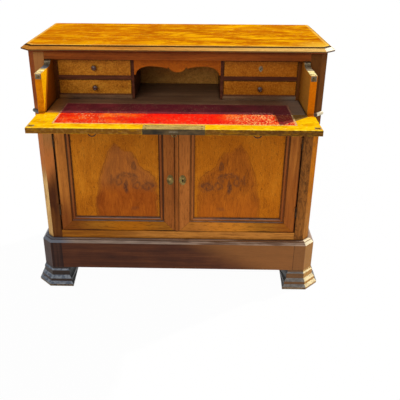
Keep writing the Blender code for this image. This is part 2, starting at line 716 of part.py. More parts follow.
def make_bed(drawer):
    """The writing bed: its front edge is hollowed for the fall, and a nosing below carries the open fall."""
    half = DRAWER_IN - SEAT_GAP
    lip = math.asin(FALL_THICK / 2 / RULE_R)
    heel = math.asin((NOSE_TOP - PIVOT_Z) / RULE_R)
    section = [(DRAWER_END, BED_TOP)]
    section += arc((PIVOT_Y, PIVOT_Z), (RULE_R, RULE_R), math.degrees(lip), math.degrees(heel))
    section += [(NOSE_FRONT, NOSE_TOP), (NOSE_FRONT, NOSE_UNDER), (DRAWER_END, NOSE_UNDER)]
    bed = drawer.add("writing_bed", "walnut", prism("X", section, -half, half))
    for _, sign in SIDES:
        x0, x1 = span(sign, DIVIDER_OUT + SEAT_GAP, PARTITION_IN - SEAT_GAP)
        low = (x0, NEST_FRONT, BED_TOP - BASE_STRIP / 2)
        drawer.fuse(bed, block(low, (x1, NEST_BACK - SEAT_GAP, LOWER_CELL)))
    leather_back = NEST_FRONT - LEATHER_BACK_MARGIN
    leather_front = PIVOT_Y + math.sqrt(RULE_R**2 - (FALL_THICK / 2 - LEATHER_RECESS) ** 2)
    floor = BED_TOP - LEATHER_RECESS
    edge = LEATHER_HALF + SEAT_GAP
    recess = block((-edge, PIVOT_Y, floor), (edge, leather_back + SEAT_GAP, BED_TOP + OVERRUN))
    drawer.carve(bed, recess)
    low = (-LEATHER_HALF, leather_front, floor + SEAT_GAP)
    leather = block(low, (LEATHER_HALF, leather_back, floor + SEAT_GAP + LEATHER_THICK))
    drawer.add("bed_leather", "leather", leather)


def apron_outline():
    """The apron's lower edge: two feet, two arches, two cusps and a lobe in the middle."""
    half = PIGEONHOLE_HALF - SEAT_GAP
    foot, arch = NEST_TOP - APRON_FOOT_DROP, NEST_TOP - APRON_ARCH_DROP
    cusp, notch, lobe = NEST_TOP - APRON_CUSP_DROP, NEST_TOP - APRON_NOTCH_DROP, NEST_TOP - APRON_LOBE_DROP
    spring = half - APRON_FOOT_WIDTH
    right = [(half, NEST_TOP), (half, foot)]
    right += arc((APRON_ARCH_HALF, foot), (spring - APRON_ARCH_HALF, arch - foot), 0, 90)
    right += arc((APRON_ARCH_HALF, cusp), (APRON_ARCH_HALF - APRON_CUSP_HALF, arch - cusp), 90, 180)[1:]
    right += arc((0, notch), (APRON_NOTCH_HALF, lobe - notch), 0, 90)
    return right + [(-x, z) for x, z in reversed(right[:-1])]


def make_nest(drawer):
    low = BED_TOP + SEAT_GAP
    back = NEST_BACK - SEAT_GAP
    for side, sign in SIDES:
        x0, x1 = span(sign, PIGEONHOLE_HALF, DIVIDER_OUT)
        drawer.add(f"{side}_divider", "walnut", block((x0, NEST_FRONT, low), (x1, back, NEST_TOP)))
        x0, x1 = span(sign, DIVIDER_OUT + SEAT_GAP, PARTITION_IN - SEAT_GAP)
        shelf_low = LOWER_CELL + CELL_HEIGHT
        shelf = block((x0, NEST_FRONT, shelf_low), (x1, back, shelf_low + NEST_SHELF))
        drawer.add(f"{side}_nest_shelf", "walnut", shelf)
    apron = prism("Y", apron_outline(), NEST_FRONT, NEST_FRONT + APRON_THICK)
    drawer.add("apron", "figured_walnut", apron)
    half = DRAWER_IN - SEAT_GAP
    drawer.add("drawer_back", "walnut", block((-half, NEST_BACK, low), (half, DRAWER_END, NEST_TOP)))


def make_small_drawer(drawer, side, sign, place, floor):
    x0, x1 = span(sign, DIVIDER_OUT + SEAT_GAP + TRAY_EASE, PARTITION_IN - SEAT_GAP - TRAY_EASE)
    low = floor + SEAT_GAP
    high = floor + CELL_HEIGHT - TRAY_TOP_EASE
    back = NEST_BACK - TRAY_BACK_EASE
    middle = ((x0 + x1) / 2, (low + high) / 2)
    tray = Group(f"{place}_{side}_drawer_slide", (middle[0], NEST_FRONT, middle[1]), drawer)
    name = f"{place}_{side}_drawer"
    box = tray.add(f"{name}_box", "figured_walnut", block((x0, NEST_FRONT, low), (x1, back, high)))
    inside_low = (x0 + TRAY_WALL, NEST_FRONT + TRAY_FRONT, low + TRAY_FLOOR)
    tray.carve(box, block(inside_low, (x1 - TRAY_WALL, back - TRAY_WALL, high + OVERRUN)))
    if (side, place) == ("right", "upper"):
        return
    profile = [(KNOB_FLANGE_R, SEAT_GAP), (KNOB_NECK_R, KNOB_NECK_START), (KNOB_NECK_R, KNOB_NECK_END)]
    profile += [(r, d) for d, r in arc((KNOB_LENGTH - KNOB_HEAD, 0), (KNOB_HEAD, KNOB_R), 120, 20)]
    tray.add(f"{name}_knob", "turned_wood", turned(profile, middle, NEST_FRONT), smooth=True)


def make_catch(drawer, side, sign):
    """A spring catch's bolt, standing out of the drawer side's front end."""
    at = (sign * CATCH_X, -PULL_OUT, CATCH_Z)
    catch = Group(f"{side}_catch_slide", at, drawer)
    front = -PULL_OUT - CATCH_REACH
    bolt = rod("Y", (sign * CATCH_X, CATCH_Z), CATCH_R, front, front + CATCH_LENGTH)
    catch.add(f"{side}_catch_bolt", "brass", bolt, smooth=True)


def fall_recesses():
    """Sinkings in the fall for its leather, lock, key and the two catches."""
    gap = SEAT_GAP
    edge = LEATHER_HALF + gap
    above = BED_TOP + OVERRUN
    front = FALL_FRONT - OVERRUN
    leather_low = (-edge, FALL_FRONT + LEATHER_FRONT_MARGIN - gap, BED_TOP - LEATHER_RECESS)
    yield block(leather_low, (edge, FALL_REAR + OVERRUN, above))
    lock_edge = LOCK_HALF + gap
    plate = LOCK_PLATE + gap
    yield block((-lock_edge, front, BED_TOP - plate), (lock_edge, FALL_FRONT + LOCK_DEPTH + gap, above))
    yield block((-lock_edge, front, FALL_UNDER - OVERRUN), (lock_edge, FALL_FRONT + plate, above))
    case_edge = LOCK_CASE_HALF + gap
    case_back = FALL_FRONT + LOCK_CASE_DEPTH + gap
    yield block((-case_edge, front, CASE_UNDER - gap), (case_edge, case_back, above))
    yield rod("Z", (0, KEY_Y), KEY_SHANK_R + KEY_EASE, FALL_UNDER - OVERRUN, PIVOT_Z)
    reach = CATCH_R + CATCH_MORTISE_EASE
    middle = PIVOT_Y - (CATCH_Z - PIVOT_Z)
    for _, sign in SIDES:
        x = sign * CATCH_X
        low = (x - reach, middle - reach, BED_TOP - CATCH_MORTISE_DEPTH)
        yield block(low, (x + reach, middle + reach, above))


def make_fall(fall):
    section = [(FALL_FRONT, BED_TOP), (FALL_FRONT, FALL_UNDER)]
    section += arc((PIVOT_Y, PIVOT_Z), (FALL_THICK / 2, FALL_THICK / 2), 270, 360)
    section += [(FALL_REAR, BED_TOP)]
    board = fall.add("fall_board", "walnut", prism("X", section, -FALL_HALF, FALL_HALF))
    notch_in = DRAWER_IN - GUIDE_EASE
    for _, sign in SIDES:
        x0, x1 = span(sign, notch_in, FALL_HALF + OVERRUN)
        low = (x0, PIVOT_Y - EAR_R - EAR_CLEAR, FALL_UNDER - OVERRUN)
        fall.carve(board, block(low, (x1, FALL_REAR + OVERRUN, BED_TOP + OVERRUN)))
        x0, x1 = span(sign, notch_in - OVERRUN, DRAWER_IN + PIVOT_PIN_IN_EAR)
        fall.fuse(board, rod("X", (PIVOT_Y, PIVOT_Z), PIVOT_PIN_R, x0, x1))
        x = sign * PULL_HALF_SPACING
        low = (x - EYE_HALF_WIDTH, PULL_Y - EYE_HALF_DEPTH, EYE_Z - EYE_BORE_R - EYE_WALL)
        high = (x + EYE_HALF_WIDTH, PULL_Y + EYE_HALF_DEPTH, PIVOT_Z)
        fall.fuse(board, block(low, high))
        eye_end = EYE_HALF_WIDTH + OVERRUN
        fall.carve(board, rod("X", (PULL_Y, EYE_Z), EYE_BORE_R, x - eye_end, x + eye_end))
    fall.carve(board, *fall_recesses())
    floor = BED_TOP - LEATHER_RECESS + SEAT_GAP
    low = (-LEATHER_HALF, FALL_FRONT + LEATHER_FRONT_MARGIN, floor)
    leather = block(low, (LEATHER_HALF, FALL_REAR - LEATHER_THICK, floor + LEATHER_THICK))
    fall.add("fall_leather", "leather", leather)


def make_lock(fall):
    """The lock's plate and edge plate in one, with the case behind them, slotted for bolt and key."""
    back = FALL_FRONT + LOCK_DEPTH
    inner = FALL_FRONT + LOCK_PLATE
    under = BED_TOP - LOCK_PLATE
    section = [(FALL_FRONT, FALL_UNDER), (inner, FALL_UNDER), (inner, under), (back, under)]
    section += [(back, BED_TOP), (FALL_FRONT, BED_TOP)]
    lock = fall.add("fall_lock", "brass", prism("X", section, -LOCK_HALF, LOCK_HALF))
    low = (-LOCK_CASE_HALF, FALL_FRONT + LOCK_PLATE / 2, CASE_UNDER)
    case = block(low, (LOCK_CASE_HALF, FALL_FRONT + LOCK_CASE_DEPTH, BED_TOP - LOCK_PLATE / 2))
    fall.fuse(lock, case)
    slot = BOLT_HALF + BOLT_EASE
    slot_z = BOLT_THICK / 2 + BOLT_EASE
    slot_back = FALL_FRONT + BOLT_SET_IN + BOLT_LENGTH + BOLT_EASE
    low = (-slot, FALL_FRONT - OVERRUN, PIVOT_Z - slot_z)
    keyhole_top = CASE_UNDER + KEY_IN_CASE + KEY_EASE
    keyhole = rod("Z", (0, KEY_Y), KEY_SHANK_R + KEY_EASE, CASE_UNDER - OVERRUN, keyhole_top)
    fall.carve(lock, block(low, (slot, slot_back, PIVOT_Z + slot_z)), keyhole)


def make_bolt_and_key(fall):
    front = FALL_FRONT + BOLT_SET_IN
    bolt = Group("fall_lock_bolt_slide", (0, front, PIVOT_Z), fall)
    low = (-BOLT_HALF, front, PIVOT_Z - BOLT_THICK / 2)
    high = (BOLT_HALF, front + BOLT_LENGTH, PIVOT_Z + BOLT_THICK / 2)
    bolt.add("fall_lock_bolt", "iron", block(low, high))
    turn = Group("fall_key_axis", (0, KEY_Y, FALL_UNDER), fall)
    seat = FALL_UNDER - SEAT_GAP
    shank = rod("Z", (0, KEY_Y), KEY_SHANK_R, seat - KEY_COLLAR - KEY_BOW_WIRE_R, CASE_UNDER + KEY_IN_CASE)
    key = turn.add("fall_key", "iron", shank, smooth=True)
    collar = rod("Z", (0, KEY_Y), KEY_COLLAR_R, seat - KEY_COLLAR, seat)
    bow_z = seat - KEY_COLLAR - KEY_BOW_R
    turn.fuse(key, collar, ring((0, KEY_Y, bow_z), KEY_BOW_R, KEY_BOW_WIRE_R))


def make_pull_ring(fall, side, sign):
    """A ring that hangs in its eye under the open fall."""
    at = (sign * PULL_HALF_SPACING, PULL_Y, EYE_Z)
    swing = Group(f"{side}_ring_axis", at, fall)
    hoop = ring((at[0], at[1], EYE_Z - RING_R), RING_R, RING_WIRE_R)
    swing.add(f"{side}_pull_ring", "iron", hoop, smooth=True)


def make_carcase(root):
    make_top(root)
    make_rails(root)
    make_waist_moulding(root)
    make_walls(root)
    make_floors(root)
    make_plinth(root)
    make_feet(root)
    make_hinge_pins(root)


def make_secretary_drawer(root):
    drawer = Group("secretary_drawer_slide", (0, 0, OPENING_FLOOR), root)
    make_bed(drawer)
    make_nest(drawer)
    fall = Group("fall_axis", (0, PIVOT_Y, PIVOT_Z), drawer)
    make_fall(fall)
    make_lock(fall)
    make_bolt_and_key(fall)
    for side, sign in SIDES:
        make_drawer_side(drawer, side, sign)
        make_catch(drawer, side, sign)
        make_pull_ring(fall, side, sign)
        for place, floor in (("lower", LOWER_CELL), ("upper", UPPER_CELL)):
            make_small_drawer(drawer, side, sign, place, floor)


def main():
    clear_scene()
    root = Group("secretary")
    make_carcase(root)
    for side, sign in SIDES:
        make_door(root, side, sign)
    make_secretary_drawer(root)
    root.empty.location.y = CENTRE_SHIFT


main()
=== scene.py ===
"""Looks of the walnut secretary commode: finishes, fittings, leather, light and camera."""

import math

import bmesh
import bpy
from mathutils import Matrix, Vector


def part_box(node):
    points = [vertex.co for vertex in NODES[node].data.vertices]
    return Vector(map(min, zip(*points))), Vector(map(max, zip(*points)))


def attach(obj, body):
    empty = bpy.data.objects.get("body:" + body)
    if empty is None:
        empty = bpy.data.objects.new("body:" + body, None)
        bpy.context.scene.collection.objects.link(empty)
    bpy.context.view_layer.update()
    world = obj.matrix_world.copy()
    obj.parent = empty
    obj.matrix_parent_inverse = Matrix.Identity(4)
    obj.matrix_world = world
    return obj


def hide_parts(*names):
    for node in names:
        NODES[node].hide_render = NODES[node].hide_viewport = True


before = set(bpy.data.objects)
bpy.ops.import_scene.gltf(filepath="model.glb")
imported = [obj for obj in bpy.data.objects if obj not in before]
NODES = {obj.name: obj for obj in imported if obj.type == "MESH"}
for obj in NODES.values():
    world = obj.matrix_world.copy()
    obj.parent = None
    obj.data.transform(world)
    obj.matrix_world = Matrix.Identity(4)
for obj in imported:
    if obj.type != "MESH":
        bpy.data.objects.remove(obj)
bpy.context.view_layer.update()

# Camera found from the photograph, measured from the carcase's front plane
CAMERA_PLACE = (0.0771, -2.0597, 1.3851)
CAMERA_PITCH = 25.809
CAMERA_YAW = -0.990
CAMERA_ROLL = 0.276
CAMERA_LENS = 51.07
CAMERA_SHIFT = 0.0303
CAMERA_SENSOR = 36.0
CAMERA_SIGHT = 200

# Light: a key from the right, behind and above, a broad fill from the front, and an even sky
KEY_TRAVEL = (-0.599, -0.408, -0.690)
KEY_STRENGTH = 3.7
KEY_ANGLE = 1.5
KEY_COLOUR = (1.0, 0.96, 0.88)
FILL_TRAVEL = (0.30, 0.80, -0.52)
FILL_STRENGTH = 1.55
FILL_ANGLE = 50.0
SKY_STRENGTH = 0.30
FLOOR_WHITE_SHARE = 0.975
FLOOR_GREY = 0.78
FLOOR_ROUGHNESS = 0.9
FLOOR_HALF = 40.0

# Softening of the solids' edges
WELD = 0.00001
EASED_EDGE = 0.0008
FINE_EDGE = 0.0004
HINGE_EDGE = 0.0002
FLAT_ANGLE = 0.3
SHARP_ANGLE = 38.0

# Places taken from the frame
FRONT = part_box("frieze_rail")[0].y
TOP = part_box("top_board")[1].z
BODY_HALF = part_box("right_side")[1].x
OPEN_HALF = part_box("right_post")[0].x
PLINTH_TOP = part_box("plinth_front")[1].z
DOOR_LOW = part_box("left_door_outer_stile")[0].z
FALL_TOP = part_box("fall_lock")[1].z
FALL_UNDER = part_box("fall_lock")[0].z
FALL_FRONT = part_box("fall_board")[0].y
NEST_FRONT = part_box("left_divider")[0].y
CANT = 0.0247
SIDES = ("left", "right")
HEIGHTS = ("upper", "lower")

# Paint: half the width over which the left half passes into the right one, and a hair's breadth
HALF_SOFT = 0.1
HAIR = 0.0008

# Moulded edge of the top: flat, quirk, slope and lip
TOP_FLAT_EDGE = 0.003
TOP_SHELF = 0.0045
TOP_QUIRK_SHADE = 0.0042
TOP_LIP_DROP = 0.0138
TOP_BED_DROP = 0.0186

# Door frame, in from a door's edge: flat, cove, bead and fillet; the brightest place of its bottom rail
DOOR_FLAT = 0.042
DOOR_COVE = 0.0485
DOOR_BEAD = 0.058
DOOR_FILLET = 0.062
RAIL_GLOW = 0.20

# Drawer sides: how far a catch stands out of its end and lies below its top, and the hollow sweep behind
CATCH_REACH = 0.005
CATCH_DROP = 0.010
SWEEP_START = 0.045
SWEEP_LENGTH = 0.028
SWEEP_RISE = 0.013
SIDE_WIDTH = 0.0229
SIDE_END = -0.1545

# Where light passes the top's lip onto the drawer's sides, and where the right side shades the fall
TOP_LIP_REACH = 0.0290
LIGHT_SLOPE = 0.622
LEATHER_END = 0.060
SHADE_START = 0.40
SHADE_SLANT = 0.58

# Nest: the strip below its drawers; plinth: where its end blocks begin, and the line of its lit part
NEST_STRIP = 0.0060
PLINTH_BLOCK = 0.4838
PLINTH_GLOW = 0.04
GLOW_SLANT = 2.0


def linear(colour):
    """A colour as the linear values that shaders take; three values are as shown on screen, 0 to 255."""
    if len(colour) == 4:
        return colour
    shares = [value / 255 for value in colour]
    return tuple(v / 12.92 if v <= 0.04045 else ((v + 0.055) / 1.055) ** 2.4 for v in shares) + (1.0,)


def scaled(colour, factor):
    """A screen colour made darker or lighter, as linear values."""
    return tuple(min(1.0, value * factor) for value in linear(colour)[:3]) + (1.0,)


def operation(kind):
    """A method that adds a node for a field and the values it is joined with."""
    return lambda field, *others: field.finish.math(kind, field, *others)


class Field:
    """A value that varies over a surface; arithmetic on it adds the nodes."""

    __add__ = operation("ADD")
    __sub__ = operation("SUBTRACT")
    __mul__ = operation("MULTIPLY")
    __truediv__ = operation("DIVIDE")
    absolute = operation("ABSOLUTE")
    least = operation("MINIMUM")
    most = operation("MAXIMUM")
    sine = operation("SINE")
    root = operation("SQRT")

    def __init__(self, finish, socket):
        self.finish = finish
        self.socket = socket

    def __rsub__(self, other):
        return self.finish.math("SUBTRACT", other, self)

    def __neg__(self):
        return self * -1.0

    def step(self, low, high):
        """0 below low, 1 above high, smooth between."""
        inputs = {"Value": self, "From Min": low, "From Max": high}
        return self.finish.node("MapRange", "Result", inputs, interpolation_type="SMOOTHSTEP")

    def fade(self, low, high):
        """1 below low, 0 above high, smooth between."""
        return 1.0 - self.step(low, high)

    def band(self, low, high, soft):
        """1 between low and high, fading to 0 over a soft margin outside them."""
        return self.step(low - soft, low) * self.fade(high, high + soft)


class Finish:
    """One material, built up from nodes in the frame's metres; its colour is laid on coat by coat."""

    def __init__(self, name):
        self.material = bpy.data.materials.new(name)
        self.material.use_nodes = True
        self.tree = self.material.node_tree
        self.shader = self.tree.nodes["Principled BSDF"]
        self.colour = None
        self.place = self.node("TexCoord", "Object")
        self.x, self.y, self.z = self.split(self.place)
        self.depth = self.y - FRONT
        self.facing_x, _, self.facing_z = self.split(self.node("TexCoord", "Normal"))

    def feed(self, socket, value):
        """Links a field to a socket, or sets the socket to a number or a colour."""
        if isinstance(value, Field):
            self.tree.links.new(value.socket, socket)
        else:
            socket.default_value = linear(value) if isinstance(value, tuple) else value

    def node(self, kind, output, inputs=None, **settings):
        """Adds a shader node and gives one of its outputs."""
        node = self.tree.nodes.new(f"ShaderNode{kind}")
        for name, value in settings.items():
            setattr(node, name, value)
        for name, value in (inputs or {}).items():
            self.feed(node.inputs[name], value)
        return Field(self, node.outputs[output])

    def split(self, field):
        return [self.node("SeparateXYZ", axis, {0: field}) for axis in "XYZ"]

    def math(self, kind, *values):
        return self.node("Math", 0, dict(enumerate(values)), operation=kind)

    def point(self, x, y, z):
        return self.node("CombineXYZ", 0, {"X": x, "Y": y, "Z": z})

    def noise(self, place, scale, detail=3.0, roughness=0.55, distortion=0.0):
        inputs = {"Vector": place, "Scale": scale, "Detail": detail, "Roughness": roughness}
        return self.node("TexNoise", "Fac", {**inputs, "Distortion": distortion})

    def mottle(self, scale, *look, x=1.0, y=1.0, z=1.0):
        """Noise over the surface, drawn out along an axis whose factor is below 1."""
        return self.noise(self.point(self.x * x, self.y * y, self.z * z), scale, *look)

    def grain(self, along, seed, run, across, *look, sway=0.012):
        """Noise that runs slowly along the grain, fast across it, and sways a little."""
        a, b, c = (getattr(self, axis) for axis in {"X": "xyz", "Y": "yxz", "Z": "zxy"}[along])
        bend = (self.mottle(2.3, 2.0) - 0.5) * sway
        place = self.point(a * run + seed, (b + bend) * across + seed * 3.1, (c + bend) * across)
        return self.noise(place, 1, *look)

    def cells(self, place, scale):
        return self.node("TexVoronoi", "Distance", {"Vector": place, "Scale": scale})

    def ramp(self, field, positions, *colours):
        """A colour that runs through others as a field rises."""
        node = self.tree.nodes.new("ShaderNodeValToRGB")
        elements = node.color_ramp.elements
        while len(elements) < len(colours):
            elements.new(0.5)
        for element, position, colour in zip(elements, positions, colours):
            element.position = position
            element.color = linear(colour)
        self.feed(node.inputs[0], field)
        return Field(self, node.outputs["Color"])

    def blend(self, share, first, second):
        return self.node("Mix", 2, {"Factor": share, 6: first, 7: second}, data_type="RGBA")

    def coat(self, share, colour):
        """Lays a colour over what the finish has so far."""
        self.colour = self.blend(share, self.colour, colour)

    def soil(self, reach, share, colour, from_open=0.35):
        """Lays grime and painted shade in creases, where little of what is around a place lies open."""
        hollows = self.node("AmbientOcclusion", "AO", {"Distance": reach}, samples=6)
        self.coat(hollows.fade(from_open, 0.95) * share, colour)

    def edges(self, radius):
        """Rises from 0 on flat faces along edges, which use and painted highlight make paler."""
        eased = self.node("Bevel", 0, {"Radius": radius}, samples=4)
        flat = self.node("NewGeometry", "Normal")
        return 1.0 - self.node("VectorMath", "Value", {0: eased, 1: flat}, operation="DOT_PRODUCT")

    def right_half(self):
        return self.x.step(-HALF_SOFT, HALF_SOFT)

    def outside(self):
        """How far a place lies outside the carcase's square outline, and outside the line of its cants."""
        across = self.x.absolute()
        cant = (across - self.depth - (BODY_HALF - CANT)) * math.sqrt(0.5)
        return (across - BODY_HALF).most(-self.depth), cant

    def on_cant(self):
        """1 on the canted corners."""
        square, cant = self.outside()
        return (cant - square).step(0.0, HAIR)

    def relief(self, height, depth):
        bump = self.node("Bump", 0, {"Distance": depth, "Strength": 1.0, "Height": height})
        self.feed(self.shader.inputs["Normal"], bump)

    def settle(self, roughness, metallic=0.0, specular=0.06):
        looks = {"Base Color": self.colour, "Roughness": roughness, "Metallic": metallic}
        for name, value in looks.items():
            self.feed(self.shader.inputs[name], value)
        self.shader.inputs["Specular IOR Level"].default_value = specular
        return self.material


def polished_wood(name, along, seed, tones, touch=None, wear=0.25, gloss=0.34, sway=0.012, specular=0.06,
                  metal=None, flecks=0.28):
    """Polished walnut: streaks and pores along the grain, grime and painted shade in creases, and edges paler
    with use and painted highlight.
    """
    finish = Finish(name)
    dark, _, light = tones

    def grain(shift, run, across, *look):
        return finish.grain(along, seed + shift, run, across, *look, sway=sway)

    streak = grain(0, 2.6, 46, 4.0, 0.6, 0.5)
    strand = grain(3, 5, 150, 3.0, 0.6)
    fine = grain(7, 14, 520, 2.0)
    pore = grain(13, 55, 1500, 1.0).step(0.60, 0.74)
    fleck = grain(17, 34, 230, 2.0, 0.7).step(0.54, 0.62)
    cloud = finish.mottle(6.0 + seed * 0.1, 4.0)
    mixed = streak * 0.38 + strand * 0.28 + cloud * 0.26 + fine * 0.08
    finish.colour = finish.ramp(mixed, (0.37, 0.50, 0.63), *tones)
    finish.coat(pore * 0.40, scaled(dark, 0.35))
    if touch:
        touch(finish)
    finish.coat(fleck * flecks, scaled(dark, 0.6))
    finish.soil(0.012, 0.75, scaled(dark, 0.2))
    # Paler edges: partly use, partly a painted highlight.
    rubbed_and_painted_sheen = finish.edges(0.003).step(0.02, 0.20) * finish.mottle(60).step(0.42, 0.62)
    finish.coat(rubbed_and_painted_sheen * wear, scaled(light, 1.6))
    finish.relief(fine * 0.5 + (1.0 - pore) * 0.5, 0.0002)
    rough = fine * 0.14 + cloud * 0.16 + (gloss - 0.12)
    return finish.settle(rough, metal(finish) if metal else 0.0, specular)


def burr_wood(name, seed, tones, touch=None):
    """Burr veneer: small swirls, flecks and eyes on a golden ground, with grime and painted shade in its
    creases.
    """
    finish = Finish(name)

    def shifted(rise):
        return finish.point(finish.x + seed, finish.y, finish.z * rise)

    swirl = finish.noise(shifted(1.4), 34, 4.0, 0.6, 1.8)
    cloud = finish.noise(shifted(1.6), 9)
    speckle = finish.noise(shifted(1.0), 190, 3.0, 0.7)
    eyes = finish.cells(shifted(1.0), 120).fade(0.08, 0.34)
    mixed = swirl * 0.34 + cloud * 0.32 + speckle * 0.34
    finish.colour = finish.ramp(mixed, (0.38, 0.50, 0.62), *tones)
    deep = scaled(tones[0], 0.4)
    finish.coat(eyes * 0.30, deep)
    if touch:
        touch(finish)
    finish.soil(0.010, 0.7, deep)
    finish.relief(swirl * 0.6 - eyes * 0.4, 0.0002)
    return finish.settle(cloud * 0.2 + 0.28)


# In the touches x, z and depth are metres from the middle, the floor and the carcase's front plane.
# Each coat has a share, where it lies times how well it covers, and a colour as it shows on screen.


def touch_top(finish):
    """Mottled, scuffed veneer on the flat, with a painted pool of light at its right end and a painted
    highlight along its rim; outside it a quirk and an underside dark with painted shade, a slope in painted
    light and a dark lip.
    """
    mottle = finish.mottle(15, 6.0, 0.72, 0.5, x=0.45)
    right = finish.x.step(-0.30, 0.50)
    golden = finish.x.step(-0.45, 0.20) * 0.35 + 0.40
    finish.coat(mottle.step(0.44, 0.66) * golden, (246, 186, 6))
    finish.coat((1.0 - mottle).step(0.46, 0.70) * 0.50, (164, 78, 2))
    patches = finish.mottle(7, 2.0).step(0.42, 0.60)
    scuffs = finish.mottle(120, 4.0, 0.7, x=0.6).step(0.62, 0.72)
    finish.coat(scuffs * patches * 0.7, (250, 226, 140))
    flecks = finish.mottle(62, 4.0, 0.7, 0.4, x=0.35)
    finish.coat(flecks.step(0.53, 0.66) * 0.30, (250, 204, 40))
    finish.coat((1.0 - flecks).step(0.54, 0.68) * 0.22, (150, 74, 2))
    # A painted pool of light on the right front of the top.
    painted_light_end = finish.x.step(0.40, 0.52) * finish.depth.fade(0.03, 0.12)
    finish.coat(painted_light_end * 0.45, (255, 214, 70))
    square, cant = finish.outside()
    out = square.most(cant)
    # A pale band along the rim of the flat: a painted highlight, broken up by a mottle.
    rubbed_and_painted_sheen = out.band(TOP_FLAT_EDGE - 0.008, TOP_FLAT_EDGE, 0.004) * (finish.mottle(12) * 0.5 + 0.1)
    finish.coat(rubbed_and_painted_sheen, (250, 214, 110))
    # The slope is painted as it is lit: tan on the left, pale in the light on the right, nearly white on the
    # right cant, orange where it faces left.
    streak = finish.grain("X", 21.0, 4, 130).step(0.46, 0.60)
    slope = finish.blend(right, (192, 128, 50), (224, 180, 104))
    slope = finish.blend(streak * 0.4, slope, finish.blend(right, (128, 72, 22), (206, 168, 96)))
    slope = finish.blend(finish.on_cant() * finish.x.step(0.0, 0.1) * 0.9, slope, (255, 250, 234))
    slope = finish.blend((-finish.facing_x).step(0.5, 0.8), slope, (204, 122, 4))
    finish.coat(out.step(TOP_SHELF, TOP_SHELF + 0.001) * 0.95, slope)
    below = TOP - finish.z
    # Painted shade in the quirk.
    finish.coat(below.band(HAIR, TOP_QUIRK_SHADE, HAIR) * 0.92, (38, 22, 12))
    finish.coat(below.step(TOP_LIP_DROP - HAIR, TOP_LIP_DROP) * 0.9, (72, 50, 36))
    # The underside, red with painted shade.
    finish.coat(below.step(TOP_BED_DROP, TOP_BED_DROP + 0.001) * 0.9, (140, 36, 14))


def touch_post(finish):
    """Posts, paler above than below on the left, with a painted reflection low on the left cant, and a dark
    joint beside the doors.
    """
    left = 1.0 - finish.right_half()
    lean = finish.x.absolute().fade(OPEN_HALF, OPEN_HALF + 0.045) * 0.05
    high = (finish.z - lean).step(0.39, 0.51)
    cant = finish.on_cant()
    blotch = finish.mottle(14, 4.0, x=2.0, z=0.5).step(0.40, 0.62)
    pale = finish.blend(finish.z.step(0.56, 0.66), (188, 112, 56), (166, 112, 62))
    finish.coat(left * high * (1.0 - cant) * 0.75, pale)
    finish.coat(left * (1.0 - high) * (1.0 - cant) * (blotch * 0.4 + 0.45), (60, 30, 22))
    # Low on the left cant a painted reflection, cream and blotched; above it the cant is brown.
    rubbed_and_painted_sheen = finish.z.fade(0.44, 0.54)
    upper = finish.blend(finish.z.step(0.72, 0.80), (178, 106, 52), (126, 56, 12))
    finish.coat(left * (1.0 - rubbed_and_painted_sheen) * cant * 0.9, upper)
    finish.coat(left * rubbed_and_painted_sheen * cant * (blotch * 0.3 + 0.6), (222, 178, 112))
    swirl = finish.mottle(22, 4.0, 0.6, 1.4, z=0.6).step(0.46, 0.62)
    warm = finish.blend(finish.z.step(0.30, 0.46), (186, 122, 54), (196, 114, 14))
    finish.coat((1.0 - left) * cant * (swirl * 0.3 + 0.6), warm)
    grain = finish.mottle(55, 3.0, 0.6, 1.6, z=0.35).step(0.52, 0.60)
    finish.coat((1.0 - left) * (1.0 - cant) * 0.4, (156, 98, 44))
    finish.coat((1.0 - left) * (1.0 - cant) * grain * 0.5, (62, 40, 24))
    contour = finish.mottle(16, 2.0, 0.5, 0.8, z=0.5)
    rings = (contour * 90.0).sine().step(0.50, 0.95)
    finish.coat((1.0 - left) * (1.0 - cant) * rings * 0.45, (54, 36, 22))
    finish.coat((1.0 - left) * finish.z.step(0.62, 0.76) * 0.85, (80, 46, 18))
    joint = finish.x.absolute().fade(OPEN_HALF + HAIR, OPEN_HALF + 0.0022)
    doors = finish.z.step(DOOR_LOW - 0.002, DOOR_LOW) * finish.z.fade(FALL_UNDER - 0.03, FALL_UNDER)
    finish.coat(joint * doors * 0.9, (22, 12, 8))


def touch_plinth(finish):
    """Upright blocks at the ends, a slope above grey with painted sky reflection, and the right end in
    painted light.
    """
    across = finish.x.absolute()
    near = finish.depth.fade(0.02, 0.03)
    upright = finish.grain("Z", 4.0, 5, 120)
    block = finish.ramp(upright, (0.36, 0.62), (30, 19, 18), (60, 38, 30))
    finish.coat(across.step(PLINTH_BLOCK, PLINTH_BLOCK + 0.0004) * near * 0.8, block)
    right = (finish.x - PLINTH_GLOW - (PLINTH_TOP - finish.z) * GLOW_SLANT).step(-0.12, 0.14)
    finish.coat(right * 0.55, (158, 102, 50))
    joint = across.band(PLINTH_BLOCK - HAIR, PLINTH_BLOCK + 0.0004, 0.0006)
    finish.coat(joint * near * 0.8, (34, 18, 12))
    lit = finish.x.step(0.2, 0.3) * finish.on_cant()
    finish.coat(lit * 0.75, (166, 112, 40))
    # The slope's greys are a painted sky reflection: bluish at the left end, cream in the light on the right
    # cant.
    slope = finish.facing_z.step(0.35, 0.6)
    streak = finish.mottle(60, x=0.15, y=0.15, z=3.0).step(0.42, 0.60)
    top = finish.blend(streak, (98, 76, 63), (154, 132, 114))
    top = finish.blend(finish.x.fade(-0.20, 0.10) * 0.55, top, (158, 142, 128))
    top = finish.blend(finish.x.fade(-0.50, -0.42) * 0.8, top, (92, 106, 124))
    top = finish.blend(lit * 0.95, top, (250, 238, 204))
    finish.coat(slope * 0.85, top)


def touch_waist(finish):
    """The moulding's right end is cream in painted light and its left end dark grey in painted shade."""
    right = finish.right_half()
    # Painted shade on the left cant and painted light on the right one, the light broken by a mottle.
    worn_and_painted_light = finish.mottle(60).step(0.40, 0.62)
    finish.coat((1.0 - right) * finish.on_cant() * 0.8, (62, 62, 62))
    finish.coat(right * finish.on_cant() * (worn_and_painted_light * 0.3 + 0.65), (238, 226, 192))


